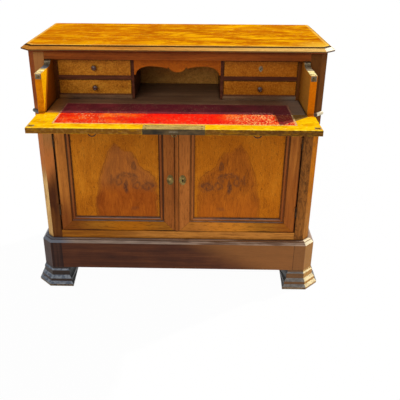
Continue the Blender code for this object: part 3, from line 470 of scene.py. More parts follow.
def touch_foot(finish):
    """Feet: the left dark and the right brown with painted shade and light, slopes grey with painted sky
    reflection, scuffed toes and inner ends dark with painted shade; the right one's cant is in the light.
    """
    right = finish.right_half()
    lit = right * finish.on_cant()
    # Painted shade on the left foot and painted light on the right one.
    finish.coat(0.5, finish.blend(right, (32, 22, 24), (130, 84, 38)))
    finish.coat(lit * 0.8, (196, 140, 56))
    # Slopes grey with a painted sky reflection, broken by a mottle, cream in the light on the right cant.
    slope = finish.facing_z.step(0.35, 0.6)
    wear = finish.mottle(70).step(0.40, 0.62)
    grey = finish.blend(wear, (84, 96, 112), (136, 144, 154))
    grey = finish.blend(right * 0.6, grey, (114, 108, 92))
    grey = finish.blend(lit * (wear * 0.3 + 0.6), grey, (246, 232, 182))
    finish.coat(slope * 0.8, grey)
    toe = finish.z.fade(0.004, 0.012) * finish.mottle(90).step(0.35, 0.6)
    finish.coat(toe * 0.75, (160, 136, 100))
    # Inner ends dark with painted shade.
    inner = (finish.facing_x * (right * -2.0 + 1.0)).step(0.15, 0.35)
    finish.coat(inner * 0.96, (14, 16, 16))


def touch_fall(finish):
    """The writing side is bright and scuffed, with a painted highlight and nicks along its front; the front
    edge is dark with painted shade and the outer face figured.
    """
    mottle = finish.mottle(34, 4.0, 0.6, 0.9, x=0.5)
    finish.coat(mottle.step(0.50, 0.62) * 0.6, (240, 200, 16))
    finish.coat((1.0 - mottle).step(0.54, 0.66) * 0.55, (204, 122, 4))
    scuffs = finish.mottle(150, 4.0, 0.7, x=0.6).step(0.62, 0.72)
    finish.coat(scuffs * 0.7, (254, 238, 150))
    # A pale line along the front of the writing side: a painted highlight, with nicks.
    from_edge = finish.y - FALL_FRONT
    nicks = finish.mottle(90).step(0.50, 0.60)
    finish.coat(from_edge.fade(0.004, 0.009) * (nicks * 0.6 + 0.2), (255, 226, 90))
    # The front edge dark with painted shade, varied by nicks, and darker again to the right.
    edge = from_edge.fade(0.0006, 0.0014)
    worn_and_painted_light = finish.blend(nicks * 0.45, (100, 58, 24), (142, 92, 44))
    finish.coat(edge * 0.95, worn_and_painted_light)
    swirl = finish.mottle(14, 4.0, 0.6, 1.2, y=1.6)
    face = finish.ramp(swirl, (0.36, 0.50, 0.64), (112, 58, 16), (152, 88, 24), (182, 112, 36))
    under = finish.z.fade(FALL_UNDER + HAIR, FALL_UNDER + 0.0016)
    finish.coat(under, face)
    finish.coat(side_shadow(finish) * (1.0 - under) * 0.9, (92, 66, 46))
    finish.coat(edge * finish.x.step(-0.05, 0.40) * 0.6, (66, 40, 20))
    finish.coat(eye_share(finish), (52, 44, 36))


def side_shadow(finish):
    """1 on the fall beside the right drawer side, behind a line that slants across the leather's end."""
    low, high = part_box("fall_leather")
    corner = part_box("drawer_right_side")[1].x
    across = (finish.x - high.x) / (corner - high.x)
    back = (finish.y - low.y) / (high.y - low.y)
    end = finish.x.step(high.x - LEATHER_END, high.x - LEATHER_END + 0.002)
    return (back - across * SHADE_SLANT - SHADE_START).step(0.00, 0.05) * end


def eye_share(finish):
    """1 on the ring eyes that stand below the fall's outer face."""
    return finish.z.fade(FALL_UNDER - HAIR, FALL_UNDER - 0.0004)


def eye_metal(finish):
    return eye_share(finish) * 0.8


def knuckle_share(finish):
    """1 on the hinge knuckles that stand in front of a door's face."""
    beside = finish.x.absolute().step(OPEN_HALF - 0.008, OPEN_HALF - 0.007)
    return finish.depth.fade(-0.0010, -0.0005) * beside


def door_inset(finish):
    """How far a place lies inside the edges of its door."""
    low, high = (corner.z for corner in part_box("left_door_outer_stile"))
    left_meeting = -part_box("left_door_meeting_stile")[0].x - DOOR_FILLET
    right_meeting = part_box("right_door_meeting_stile")[0].x
    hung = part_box("right_door_top_rail")[1].x
    across = finish.x.absolute()
    meeting = finish.x.step(-0.001, 0.001) * (right_meeting - left_meeting) + left_meeting
    sideways = (across - meeting).least(hung - across)
    return sideways.least(finish.z - low).least(high - finish.z)


def touch_rail(finish):
    """The rail below the doors is paler to the right, with a dark joint above the plinth."""
    finish.coat(finish.x.step(-0.34, -0.08) * 0.6, (198, 132, 60))
    streaks = finish.grain("X", 31.0, 9, 160, 3.0, 0.6).step(0.46, 0.58)
    finish.coat(streaks * 0.4, (100, 54, 14))
    joint = (finish.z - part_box("bottom_rail")[0].z).fade(0.0022, 0.0034)
    finish.coat(joint * 0.85, (24, 14, 8))


def touch_door(finish):
    """Door frames: a dark joint round them; inside the flat a grey cove and a dark fillet in painted shade, a
    red bead, and a painted grey reflection on faces turned up.
    """
    inset = door_inset(finish)
    hung = finish.x.absolute().step(0.1, 0.2)
    below = (finish.z - DOOR_LOW).fade(0.0034, 0.0046)
    joint = inset.step(-0.0010, -0.0004) * (inset - hung * 0.0022).fade(0.0002, 0.0012)
    finish.coat(joint.most(below) * 0.9, (26, 14, 8))
    # Painted shade in the cove.
    cove = inset.band(DOOR_FLAT + HAIR, DOOR_COVE, HAIR)
    finish.coat(cove * 0.8, (56, 40, 32))
    bead = inset.band(DOOR_COVE + 0.001, DOOR_BEAD - 0.001, 0.001)
    finish.coat(bead * 0.7, (132, 70, 34))
    # Painted shade on the fillet beside the panel.
    fillet = inset.step(DOOR_BEAD - HAIR, DOOR_BEAD)
    finish.coat(fillet * 0.85, (36, 18, 12))
    # A painted grey reflection on the moulding's faces that are turned up.
    upward = inset.step(DOOR_FLAT, DOOR_FLAT + 0.001) * finish.facing_z.step(0.25, 0.6)
    finish.coat(upward * 0.55, (138, 128, 126))
    left_low = finish.x.fade(-0.47, -0.30) * finish.z.fade(0.30, 0.44)
    finish.coat(left_low * 0.72, (100, 42, 14))
    right_low = finish.x.step(0.36, 0.46) * (1.0 - finish.z.step(0.46, 0.58) * 0.6)
    finish.coat(right_low * 0.55, (128, 58, 10))
    finish.coat(finish.x.step(-0.002, 0.002) * (1.0 - hung) * 0.35, (200, 122, 54))
    low_rail = finish.z.fade(DOOR_LOW + 0.04, DOOR_LOW + 0.05) * inset.fade(DOOR_FLAT, DOOR_FLAT + 0.001)
    bright = (finish.x.absolute() - RAIL_GLOW).absolute().fade(0.02, 0.15)
    glow = finish.blend(finish.right_half(), (184, 104, 2), (218, 134, 40))
    finish.coat(low_rail * bright * 0.55, glow)
    finish.coat(knuckle_share(finish), (44, 30, 20))


def knuckle_metal(finish):
    return knuckle_share(finish) * 0.6


def touch_nest_back(finish):
    """The back of the pigeonhole, browner and darker to the left with painted shade."""
    left = finish.x.fade(-0.16, 0.10)
    finish.coat(left * 0.6, (104, 62, 24))


def touch_small_drawer(finish):
    """A dark joint round each front and a dark strip below the lower ones; behind it plain, pale wood."""
    right = finish.x.step(0.0, 0.35)
    finish.coat(right * 0.6, (152, 78, 6))
    across = finish.x.absolute()
    for height in HEIGHTS:
        low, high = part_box(f"{height}_right_drawer_box")
        inset = (across - low.x).least(high.x - across).least(high.z - finish.z)
        row = finish.z.step(low.z - 0.002, low.z - 0.001) * finish.z.fade(high.z + 0.001, high.z + 0.002)
        finish.coat(inset.fade(0.0022, 0.0036) * row * 0.85, (30, 14, 8))
    spark = finish.mottle(230, 3.0, 0.7)
    finish.coat(spark.step(0.53, 0.60) * 0.34, (84, 44, 8))
    finish.coat((1.0 - spark).step(0.54, 0.62) * 0.26, (208, 142, 50))
    strip = (finish.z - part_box("lower_right_drawer_box")[0].z).fade(NEST_STRIP - 0.0006, NEST_STRIP)
    finish.coat(strip * 0.85, (74, 44, 34))
    behind = (finish.y - NEST_FRONT).step(0.0012, 0.0020)
    finish.coat(behind, (176, 132, 84))


def touch_bed(finish):
    """The bed is browner at its left end, with a dark joint beside the drawer's sides."""
    finish.coat(finish.x.fade(-0.46, -0.38) * 0.7, (172, 112, 46))
    finish.coat(finish.x.step(0.36, 0.44) * 0.6, (122, 108, 94))
    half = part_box("writing_bed")[1].x
    joint = finish.x.absolute().step(half - 0.0050, half - 0.0035)
    finish.coat(joint * 0.85, (22, 16, 12))


def touch_side(finish):
    """A drawer side is orange on its end, yellow in the light past the top, and dark with painted shade
    towards the nest.
    """
    drop = TOP - finish.z
    wedge = (-finish.depth - TOP_LIP_REACH - drop * LIGHT_SLOPE).step(0.000, 0.004)
    inner = finish.depth.step(SIDE_END, SIDE_END + 0.001)
    left = 1.0 - finish.right_half()
    # The inner faces darken towards the back with painted shade.
    brown = finish.blend(left, (178, 126, 50), (156, 82, 12))
    far = finish.blend(left, (132, 78, 26), (58, 28, 12))
    brown = finish.blend(finish.depth.step(-0.09, 0.06), brown, far)
    finish.coat(inner * (1.0 - wedge * left) * 0.85, brown)
    finish.coat(inner * wedge * left * 0.8, (252, 190, 8))
    finish.coat((1.0 - inner) * (0.7 - left * 0.6), (190, 92, 4))
    # Painted shade by the nest.
    nest = (finish.y - NEST_FRONT).step(-0.0040, -0.0030)
    finish.coat(nest * 0.9, (82, 44, 24))


# Book-matched figure of the door panels, in metres from the meeting line and above the floor: its round outer
# edge, its swaying inner edge that leans outwards above a shoulder and a crest, and its top
FIGURE_BASE = 0.300
FIGURE_HEIGHT = 0.332
FIGURE_MIDDLE = 0.2175
FIGURE_HALF = 0.108
FIGURE_INNER = 0.085
FIGURE_SWAY = 0.045
FIGURE_SHOULDER = 0.448
SHOULDER_SLANT = 0.68
FIGURE_CREST = 0.586
CREST_SLANT = 0.95
FIGURE_TOP = 0.624
TOP_SLANT = 0.8
# Its marks: an arched brow over the knots, and a smoky patch
BROW_MIDDLE = 0.205
BROW_HALF = 0.055
BROW_LEVEL = 0.494
BROW_RISE = 0.030
SMOKE_MIDDLE = 0.118
SMOKE_HALF = 0.038
SMOKE_LEVEL = 0.442
SMOKE_RISE = 0.026
# Each knot: from the meeting line, height, half width, half height, how hollow, how dark
KNOTS = (
    (0.231, 0.465, 0.012, 0.016, 0.8, 0.85),
    (0.203, 0.444, 0.007, 0.026, 0.0, 1.00),
    (0.172, 0.532, 0.009, 0.018, 0.7, 0.90),
    (0.174, 0.473, 0.005, 0.014, 0.0, 0.60),
    (0.164, 0.447, 0.011, 0.014, 0.8, 0.85),
    (0.126, 0.438, 0.014, 0.015, 0.7, 0.95),
    (0.099, 0.449, 0.008, 0.010, 0.0, 0.80),
    (0.264, 0.474, 0.005, 0.020, 0.0, 0.55),
    (0.176, 0.344, 0.016, 0.008, 0.0, 0.40),
)


def figure_depth(finish, a, z):
    """Distance inside the pointed figure, negative outside it."""
    rise = ((z - FIGURE_BASE) / FIGURE_HEIGHT).most(0.0).least(1.0)
    outer = (1.0 - rise * rise).root() * FIGURE_HALF + FIGURE_MIDDLE
    sway = (finish.noise(finish.point(0.0, 0.0, z), 16, 3.0, 0.6) - 0.5) * FIGURE_SWAY
    inner = ((z - FIGURE_SHOULDER) * SHOULDER_SLANT).most(0.0) + sway + FIGURE_INNER
    inner = inner + ((z - FIGURE_CREST) * CREST_SLANT).most(0.0)
    return (a - inner).least(outer - a).least((FIGURE_TOP - z) * TOP_SLANT)


def knot_shade(a, z):
    """How dark a place is by the knots."""
    spots = None
    for knot_a, knot_z, half_a, half_z, hollow, weight in KNOTS:
        across = (a - knot_a) / half_a
        up = (z - knot_z) / half_z
        away = across * across + up * up
        spot = away.fade(0.2, 2.2) * (away.step(0.10, 0.75) * hollow + (1.0 - hollow)) * weight
        spots = spot if spots is None else spots.most(spot)
    return spots


def brow_and_smoke(a, z):
    """1 on the brow and on the smoky patch of the figure."""
    arch = (a - BROW_MIDDLE) / BROW_HALF
    brow = (z - BROW_LEVEL + arch * arch * BROW_RISE).absolute().fade(0.002, 0.020)
    across = (a - SMOKE_MIDDLE) / SMOKE_HALF
    up = (z - SMOKE_LEVEL) / SMOKE_RISE
    smoke = (across * across + up * up).fade(0.1, 1.4)
    return (brow * arch.absolute().fade(0.6, 1.1)).most(smoke)


def tint_figure(finish, inside):
    """The figure is redder below, and on the left door paler above."""
    low = finish.z.fade(0.34, 0.44) * inside
    left = finish.x.fade(-0.05, 0.05)
    finish.coat(low * (0.45 - left * 0.40), (182, 94, 20))
    upper = finish.z.step(0.40, 0.48)
    finish.coat(inside * left * upper * 0.32, (186, 114, 56))
    finish.coat(inside * left * (1.0 - upper) * 0.40, (156, 64, 6))


def panel_material(name):
    """Crotch veneer, opened like a book about the meeting line: a pointed figure with knots on gold."""
    finish = Finish(name)
    across = finish.x.absolute()
    folded = finish.point(across, finish.y, finish.z)
    wander = finish.noise(folded, 7, 3.0, 0.5, 0.4) - 0.5
    ripple = finish.noise(folded, 30, 3.0, 0.6) - 0.5
    a = across + wander * 0.050 + ripple * 0.014
    z = finish.z - wander * 0.045 + ripple * 0.016

    def veins(close, long, *look):
        return finish.noise(finish.point(a * close, finish.y, z * long), 1, *look)

    depth = figure_depth(finish, a, z)
    inside = depth.step(-0.010, 0.016) * (finish.noise(folded, 5, 2.0) * 0.5 + 0.65)
    cloud = finish.noise(folded, 7, 4.0, 0.6, 0.7)
    flow = veins(60, 9, 4.0, 0.6, 0.8)
    fine = veins(420, 30, 2.0)
    stops = (0.36, 0.50, 0.64)
    mixed = cloud * 0.55 + flow * 0.30 + fine * 0.15
    gold = finish.ramp(mixed, stops, (156, 84, 12), (180, 104, 18), (198, 122, 28))
    mixed = cloud * 0.45 + flow * 0.45 + fine * 0.10
    brown = finish.ramp(mixed, stops, (110, 56, 20), (152, 82, 27), (186, 104, 29))
    finish.colour = finish.blend(inside, gold, brown)
    rim = depth.absolute().fade(0.000, 0.006) * 0.38
    finish.coat(rim, (120, 62, 20))
    knots = knot_shade(a, z)
    arcs = finish.point(depth * 170.0 + knots * 2.5, finish.y, z * 7.0)
    rings = finish.noise(arcs, 1, 3.0, 0.65, 0.5).step(0.50, 0.60)
    reach = depth.band(-0.002, 0.040, 0.060) * depth.step(-0.010, 0.0)
    finish.coat(rings * reach * 0.50, (86, 44, 18))
    beyond = depth.band(-0.080, -0.012, 0.012) * finish.z.step(0.44, 0.52)
    finish.coat(rings * beyond * 0.28, (132, 70, 14))
    finish.coat(finish.x.step(0.0, 0.1) * 0.30, (172, 90, 0))
    strand = veins(150, 14, 3.0, 0.6, 1.0).step(0.50, 0.66)
    finish.coat(strand * (inside * 0.34 + 0.18), (92, 46, 18))
    pores = veins(300, 45, 2.0, 0.7).step(0.56, 0.64)
    finish.coat(pores * 0.52, (84, 40, 12))
    spark = finish.noise(folded, 240, 2.0, 0.7).step(0.54, 0.62)
    finish.coat(spark * (0.30 - inside * 0.22), (222, 142, 44))
    tint_figure(finish, inside)
    mottle = finish.noise(folded, 95, 3.0, 0.6, 0.6).step(0.40, 0.62)
    marks = (knots * 0.85).most(brow_and_smoke(a, z) * (mottle * 0.40 + 0.28))
    finish.coat(marks * (mottle * 0.45 + 0.55), (70, 48, 38))
    # Grime and painted shade in the creases.
    finish.soil(0.012, 0.85, (36, 18, 8))
    finish.relief(fine, 0.00015)
    return finish.settle(cloud * 0.18 + 0.26, 0.0, 0.03)


# Tooled dots of the gilt line, in radians per metre
STITCHES = 900.0


def redden(finish, specks):
    """The fall's leather is clear red in the middle, scuffed pale on the right and spotted all over."""
    middle = (finish.x - 0.02).absolute().fade(0.10, 0.20)
    finish.coat(middle * 0.85, (226, 8, 1))
    rubbed_and_painted_sheen = finish.mottle(170, 3.0, 0.75, y=0.5).step(0.53, 0.58)
    finish.coat(finish.x.step(0.14, 0.26) * rubbed_and_painted_sheen * 0.7, (248, 190, 110))
    deep = finish.mottle(150, 3.0, 0.7, y=0.5).step(0.54, 0.60)
    finish.coat(deep * 0.45, (150, 6, 2))
    return specks * (1.0 - middle * 0.45)


def leather_material(name, node, on_fall, tones, gilt):
    """Glazed leather, scuffed, with a gilt tooled line inside its outer edges."""
    low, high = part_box(node)
    finish = Finish(name)
    cloud = finish.mottle(14, 4.0, 0.6)
    scuff = finish.mottle(120, 4.0, 0.7, y=1.6)
    finish.colour = finish.ramp(cloud * 0.6 + scuff * 0.4, (0.40, 0.50, 0.60), *tones)
    patches = finish.mottle(9, 2.0).step(0.44, 0.62) * 0.8 + 0.2
    specks = finish.mottle(190, 3.0, 0.75, y=0.5).step(0.57, 0.62) * patches
    if on_fall:
        specks = redden(finish, specks)
    else:
        finish.coat(finish.x.step(-0.10, 0.42) * 0.6, (70, 32, 36))
    finish.coat(specks * 0.7, gilt)
    inset = (finish.x - low.x).least(high.x - finish.x)
    if on_fall:
        finish.coat(side_shadow(finish) * (0.92 - specks * 0.4), (98, 26, 30))
        inset = inset.least(finish.y - low.y)
    else:
        inset = inset.least(high.y - finish.y)
    stitch = ((finish.x * STITCHES).sine() * (finish.y * STITCHES + 1.2).sine()).absolute().step(0.05, 0.4)
    line = inset.band(0.0006, 0.0056, 0.0006) * (stitch * 0.55 + 0.45)
    worn_and_painted_light = finish.mottle(70).step(0.36, 0.56)
    finish.coat(line * (worn_and_painted_light * 0.45 + 0.5), gilt)
    finish.relief(finish.cells(finish.place, 620) * 0.6 + line * 0.4, 0.0002)
    return finish.settle(cloud * 0.2 + 0.38)


def metal_material(name, *tones):
    """Old metal, clouded and spotted."""
    finish = Finish(name)
    cloud = finish.mottle(55, 4.0)
    spots = finish.mottle(320)
    finish.colour = finish.ramp(cloud * 0.6 + spots * 0.4, (0.36, 0.5, 0.66), *tones)
    finish.soil(0.003, 0.8, scaled(tones[0], 0.25), 0.30)
    finish.relief(spots, 0.0001)
    return finish.settle(cloud * 0.3 + 0.27, 0.75, 0.4)


def strip_material(name):
    """Steel strips: pale in painted light and rusted at the drawer side's end, then grey-blue in painted
    shade, tan on the right, and brown by the carcase.
    """
    finish = Finish(name)
    spots = finish.mottle(130, 4.0, 0.65)
    cloud = finish.mottle(40)
    # The front part pale in painted light, with rust spots.
    worn_and_painted_light = finish.ramp(cloud, (0.36, 0.62), (212, 184, 104), (250, 234, 172))
    rust = spots.step(0.49, 0.56) * finish.depth.fade(-0.135, -0.110)
    worn_and_painted_light = finish.blend(rust * 0.85, worn_and_painted_light, (72, 46, 22))
    # Behind it painted shade: grey-blue, tan on the right strip.
    grey_blue_in_painted_shade = finish.ramp(cloud, (0.36, 0.62), (62, 66, 76), (104, 110, 118))
    grey_blue_in_painted_shade = finish.blend(finish.right_half() * 0.6, grey_blue_in_painted_shade, (168, 144, 104))
    finish.colour = finish.blend(finish.depth.step(-0.088, -0.080), worn_and_painted_light, grey_blue_in_painted_shade)
    brown = finish.blend(spots.step(0.4, 0.6), (74, 64, 48), (112, 98, 74))
    finish.coat(finish.depth.step(-0.040, -0.030), brown)
    finish.relief(spots, 0.0001)
    return finish.settle(cloud * 0.3 + 0.35, 0.35, 0.2)


def lock_material(name):
    """Brass that is pale on the plate and dark on the front edge with painted shade."""
    finish = Finish(name)
    spots = finish.mottle(240, 4.0, 0.65)
    cloud = finish.mottle(30, y=2.0, z=2.0)
    plate = finish.ramp(spots * 0.6 + cloud * 0.4, (0.36, 0.64), (146, 116, 44), (226, 198, 110))
    # The front edge takes dark tones as painted shade.
    edge = finish.ramp(cloud, (0.36, 0.64), (36, 28, 15), (84, 65, 36))
    front = finish.y.fade(FALL_FRONT + 0.0006, FALL_FRONT + 0.0012)
    finish.colour = finish.blend(front, plate, edge)
    finish.soil(0.003, 0.8, (26, 22, 12), 0.30)
    finish.relief(spots, 0.0001)
    return finish.settle(spots * 0.3 + 0.30, 0.55, 0.4)


def dark_material(name):
    """The dark inside of a keyhole: painted shade on a shallow floor that stands for the hole's depth."""
    finish = Finish(name)
    # The mottle of the painted shade in the pit.
    dust = finish.mottle(400)
    finish.colour = finish.ramp(dust, (0.3, 0.7), (8, 6, 5), (20, 15, 11))
    return finish.settle(dust * 0.2 + 0.7, 0.0, 0.05)


def modifier_group(name, *kinds):
    """A group that passes a shape through geometry nodes in turn, and those nodes."""
    group = bpy.data.node_groups.new(name, "GeometryNodeTree")
    for way in ("INPUT", "OUTPUT"):
        group.interface.new_socket("Geometry", in_out=way, socket_type="NodeSocketGeometry")
    start, end = (group.nodes.new(f"NodeGroup{kind}") for kind in ("Input", "Output"))
    nodes = [group.nodes.new(f"GeometryNode{kind}") for kind in kinds]
    chain = [start, *nodes, end]
    for first, second in zip(chain, chain[1:]):
        group.links.new(first.outputs[0], second.inputs[0])
    return group, nodes


def welding_group():
    """Joins the corners that the frame's file keeps apart, and drops its flat normals."""
    group, (weld, drop) = modifier_group("weld_corners", "MergeByDistance", "RemoveAttribute")
    weld.inputs["Distance"].default_value = WELD
    drop.inputs["Name"].default_value = "custom_normal"
    return group


def smoothing_group():
    """Shades round stretches smooth and keeps real corners sharp."""
    group, (faces, edges) = modifier_group("smooth_round_stretches", "SetShadeSmooth", "SetShadeSmooth")
    faces.domain = "FACE"
    edges.domain = "EDGE"
    edges.inputs["Shade Smooth"].default_value = False
    angle = group.nodes.new("GeometryNodeInputMeshEdgeAngle")
    sharp = group.nodes.new("FunctionNodeCompare")
    sharp.operation = "GREATER_THAN"
    sharp.inputs[1].default_value = math.radians(SHARP_ANGLE)
    group.links.new(angle.outputs["Unsigned Angle"], sharp.inputs[0])
    group.links.new(sharp.outputs[0], edges.inputs["Selection"])
    return group


WELDING = welding_group()
SMOOTHING = smoothing_group()


def add_modifier(item, name, kind, **settings):
    modifier = item.modifiers.new(name, kind)
    for key, value in settings.items():
        setattr(modifier, key, value)


def ease_edges(item, width):
    """Rounds a solid's edges slightly, as planed and polished wood is, and keeps its broad faces flat."""
    add_modifier(item, "weld", "NODES", node_group=WELDING)
    if width:
        add_modifier(item, "flat_faces", "DECIMATE", decimate_type="DISSOLVE",
                     angle_limit=math.radians(FLAT_ANGLE))
        add_modifier(item, "eased_edges", "BEVEL", width=width, segments=2, limit_method="ANGLE",
                     angle_limit=math.radians(SHARP_ANGLE))
    add_modifier(item, "smooth", "NODES", node_group=SMOOTHING)
    if width:
        add_modifier(item, "even_normals", "WEIGHTED_NORMAL", weight=100, keep_sharp=True)


def dress(names, material, width=EASED_EDGE):
    for name in names:
        item = NODES[name]
        item.data.materials.clear()
        item.data.materials.append(material)
        ease_edges(item, width)


# Which way is up on a surface that faces forward, up or down
ON_FRONT = (0, 0, 1)
ON_TOP = (0, 1, 0)
ON_UNDERSIDE = (0, -1, 0)


class Seat:
    """A place on a surface, with directions across it, up it and out of it."""

    def __init__(self, up, x, y, z):
        self.place = Vector((x, y, z))
        self.across = Vector((1, 0, 0))
        self.up = Vector(up)
        self.out = self.across.cross(self.up)

    def at(self, u, v, height):
        return self.place + self.across * u + self.up * v + self.out * height


def middle_of(node):
    low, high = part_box(node)
    return (low + high) / 2


def skin_rings(shape, rings, closed=True):
    """Faces between rings of equally many points, and over the end rings where they are closed."""
    rows = [[shape.verts.new(point) for point in ring] for ring in rings]
    count = len(rows[0])
    for first, second in zip(rows, rows[1:]):
        for i in range(count):
            after = (i + 1) % count
            shape.faces.new((first[i], first[after], second[after], second[i]))
    return [shape.faces.new(row) for row in (rows[0], rows[-1])] if closed else []


def place_piece(name, shape, materials, body):
    """Turns a finished shape into a piece that rides on a body."""
    bmesh.ops.recalc_face_normals(shape, faces=shape.faces)
    mesh = bpy.data.meshes.new(name)
    shape.to_mesh(mesh)
    shape.free()
    for material in materials:
        mesh.materials.append(material)
    piece = bpy.data.objects.new(name, mesh)
    bpy.context.scene.collection.objects.link(piece)
    add_modifier(piece, "smooth", "NODES", node_group=SMOOTHING)
    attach(piece, body)
    return piece


# How many points go round a fitting, and the least part of a direction that is divided by
ROUND = 64
TINY = 1e-6


def polar_ring(seat, height, outline):
    """A ring of points above a seat; outline(c, s) gives how far across and up each lies."""
    ring = []
    for i in range(ROUND):
        angle = 2 * math.pi * i / ROUND
        ring.append(seat.at(*outline(math.cos(angle), math.sin(angle)), height))
    return ring


def oval(half_width, half_height):
    return lambda c, s: (half_width * c, half_height * s)


def scalloped(half_width, half_height, depth, lobes):
    def outline(c, s):
        swell = 1 + depth * math.cos(lobes * math.atan2(s, c))
        return half_width * swell * c, half_height * swell * s

    return outline


def rectangle(half_width, half_height):
    def outline(c, s):
        reach = min(half_width / max(abs(c), TINY), half_height / max(abs(s), TINY))
        return reach * c, reach * s

    return outline


def keyhole(round_r, slot_half, slot_length):
    def outline(c, s):
        reach = round_r
        if s < 0:
            reach = max(reach, min(slot_length / -s, slot_half / max(abs(c), TINY)))
        return reach * c, reach * s

    return outline


def shield(half_width, half_height):
    """Broad at the top and drawn to a point below."""

    def outline(c, s):
        narrow = 1.0 if s >= 0 else 1.0 - 0.45 * s * s
        return half_width * narrow * c, half_height * s * (1.0 if s < 0 else 0.85)

    return outline


# Steps of a pressed escutcheon from its rim inwards: share of the size, height, depth of the scallops
ESCUTCHEON_STEPS = (
    (1.00, 0.0000, 0.060),
    (1.00, 0.0007, 0.060),
    (0.93, 0.0014, 0.055),
    (0.84, 0.0009, 0.030),
    (0.77, 0.0008, 0.000),
    (0.71, 0.0015, 0.000),
    (0.64, 0.0015, 0.000),
    (0.58, 0.0009, 0.000),
    (0.46, 0.0011, 0.000),
)
ESCUTCHEON_HALF = (0.0135, 0.0215)
SCALLOPS = 14
# Its boss: share of the half width, height; its keyhole: radius, half width and length of the slot
BOSS_STEPS = ((0.38, 0.0024), (0.26, 0.0034), (0.12, 0.0039), (0.03, 0.0040))
DOOR_KEYHOLE = keyhole(0.0034, 0.0018, 0.0100)
KEYHOLE_PIT = 0.0002
# The round hole of the fall's plate, and where the doors' plates stand
FALL_KEYHOLE = oval(0.0058, 0.0058)
DOOR_PLATE_Z = 0.4765
LEFT_PLATE_X = -0.029
RIGHT_PLATE_X = 0.0205
# The small drawer's shield, and its steps: share of the size, height
SHIELD_HALF = (0.0075, 0.0115)
SHIELD_STEPS = ((1.0, 0.0), (1.0, 0.0008), (0.90, 0.0013), (0.80, 0.0010), (0.60, 0.0010))
SHIELD_KEYHOLE = keyhole(0.0017, 0.0009, 0.0052)


def skin_keyhole(shape, seat, rings, rim, outline):
    """Ends a plate's rings in a keyhole with a floor dark with painted shade."""
    pit = [polar_ring(seat, height, outline) for height in (rim, KEYHOLE_PIT)]
    skin_rings(shape, rings + pit)[1].material_index = 1


def skin_hole(shape, seat, rings, rim, outline):
    """Ends a plate's rings in a hole right through it."""
    hole = [polar_ring(seat, height, outline) for height in (rim, 0.0)]
    skin_rings(shape, rings + hole + rings[:1], closed=False)
    bmesh.ops.remove_doubles(shape, verts=shape.verts, dist=WELD)


def make_escutcheon(name, seat, body, centre, materials):
    """A pressed oval plate: its centre is a boss, a keyhole or a round hole."""
    width, height = ESCUTCHEON_HALF
    rim = ESCUTCHEON_STEPS[-1][1]
    rings = []
    for share, rise, depth in ESCUTCHEON_STEPS:
        rings.append(polar_ring(seat, rise, scalloped(width * share, height * share, depth, SCALLOPS)))
    shape = bmesh.new()
    if centre == "boss":
        boss = [polar_ring(seat, rise, oval(width * share, width * share)) for share, rise in BOSS_STEPS]
        skin_rings(shape, rings + boss)
    elif centre == "keyhole":
        skin_keyhole(shape, seat, rings, rim, DOOR_KEYHOLE)
    else:
        skin_hole(shape, seat, rings, rim, FALL_KEYHOLE)
    place_piece(name, shape, materials, body)


def make_escutcheons(brass, metal, dark):
    doors = (("left_door", LEFT_PLATE_X, "boss"), ("right_door", RIGHT_PLATE_X, "keyhole"))
    for body, x, centre in doors:
        seat = Seat(ON_FRONT, x, FRONT, DOOR_PLATE_Z)
        make_escutcheon(f"{body}_escutcheon", seat, body, centre, (brass, dark))
    key = middle_of("fall_key")
    seat = Seat(ON_UNDERSIDE, key.x, key.y, FALL_UNDER)
    make_escutcheon("fall_escutcheon", seat, "fall", "hole", (brass, dark))
    front = middle_of("upper_right_drawer_box")
    seat = Seat(ON_FRONT, front.x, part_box("upper_right_drawer_box")[0].y, front.z)
    width, height = SHIELD_HALF
    rings = [polar_ring(seat, rise, shield(width * share, height * share)) for share, rise in SHIELD_STEPS]
    shape = bmesh.new()
    skin_keyhole(shape, seat, rings, SHIELD_STEPS[-1][1], SHIELD_KEYHOLE)
    place_piece("upper_right_drawer_escutcheon", shape, (metal, dark), "upper_right_drawer")


# Flat plates: thickness, how far their rims are eased, and the width that the ease is a share of
PLATE_THICK = 0.0002
PLATE_EASE = 0.0006
EASED_SPAN = 0.012


def make_holed_plate(name, seat, outer, inner, body, metal, thick=PLATE_THICK,
                     ease=PLATE_EASE):
    """A flat plate with a hole, its rim eased."""
    rings = []
    for share, height in ((1.0, 0.0), (1.0, thick - ease / 2), (1.0 - ease / EASED_SPAN, thick)):
        rings.append(polar_ring(seat, height, lambda c, s: [value * share for value in outer(c, s)]))
    shape = bmesh.new()
    skin_hole(shape, seat, rings, thick, inner)
    place_piece(name, shape, (metal,), body)


# Screw head, in shares of its radius: steps as radius and height, and half the slot; points of half a ring
SCREW_STEPS = ((1.0, 0.0), (1.0, 0.10), (0.75, 0.24), (0.35, 0.32))
SCREW_SLOT = 0.16
SCREW_POINTS = 12


def add_screw(shape, seat, radius):
    """A countersunk screw head in two halves, with the slot between them."""
    for way in (-1, 1):
        rings = []
        for share, rise in SCREW_STEPS:
            reach = radius * share
            start = math.asin(min(1.0, radius * SCREW_SLOT / reach))
            angles = [start + (math.pi - 2 * start) * i / SCREW_POINTS for i in range(SCREW_POINTS + 1)]
            places = [(reach * math.cos(angle), way * reach * math.sin(angle)) for angle in angles]
            rings.append([seat.at(u, v, radius * rise) for u, v in places])
        skin_rings(shape, rings)


def make_screws(name, seats, radius, body, metal):
    shape = bmesh.new()
    for seat in seats:
        add_screw(shape, seat, radius)
    place_piece(name, shape, (metal,), body)


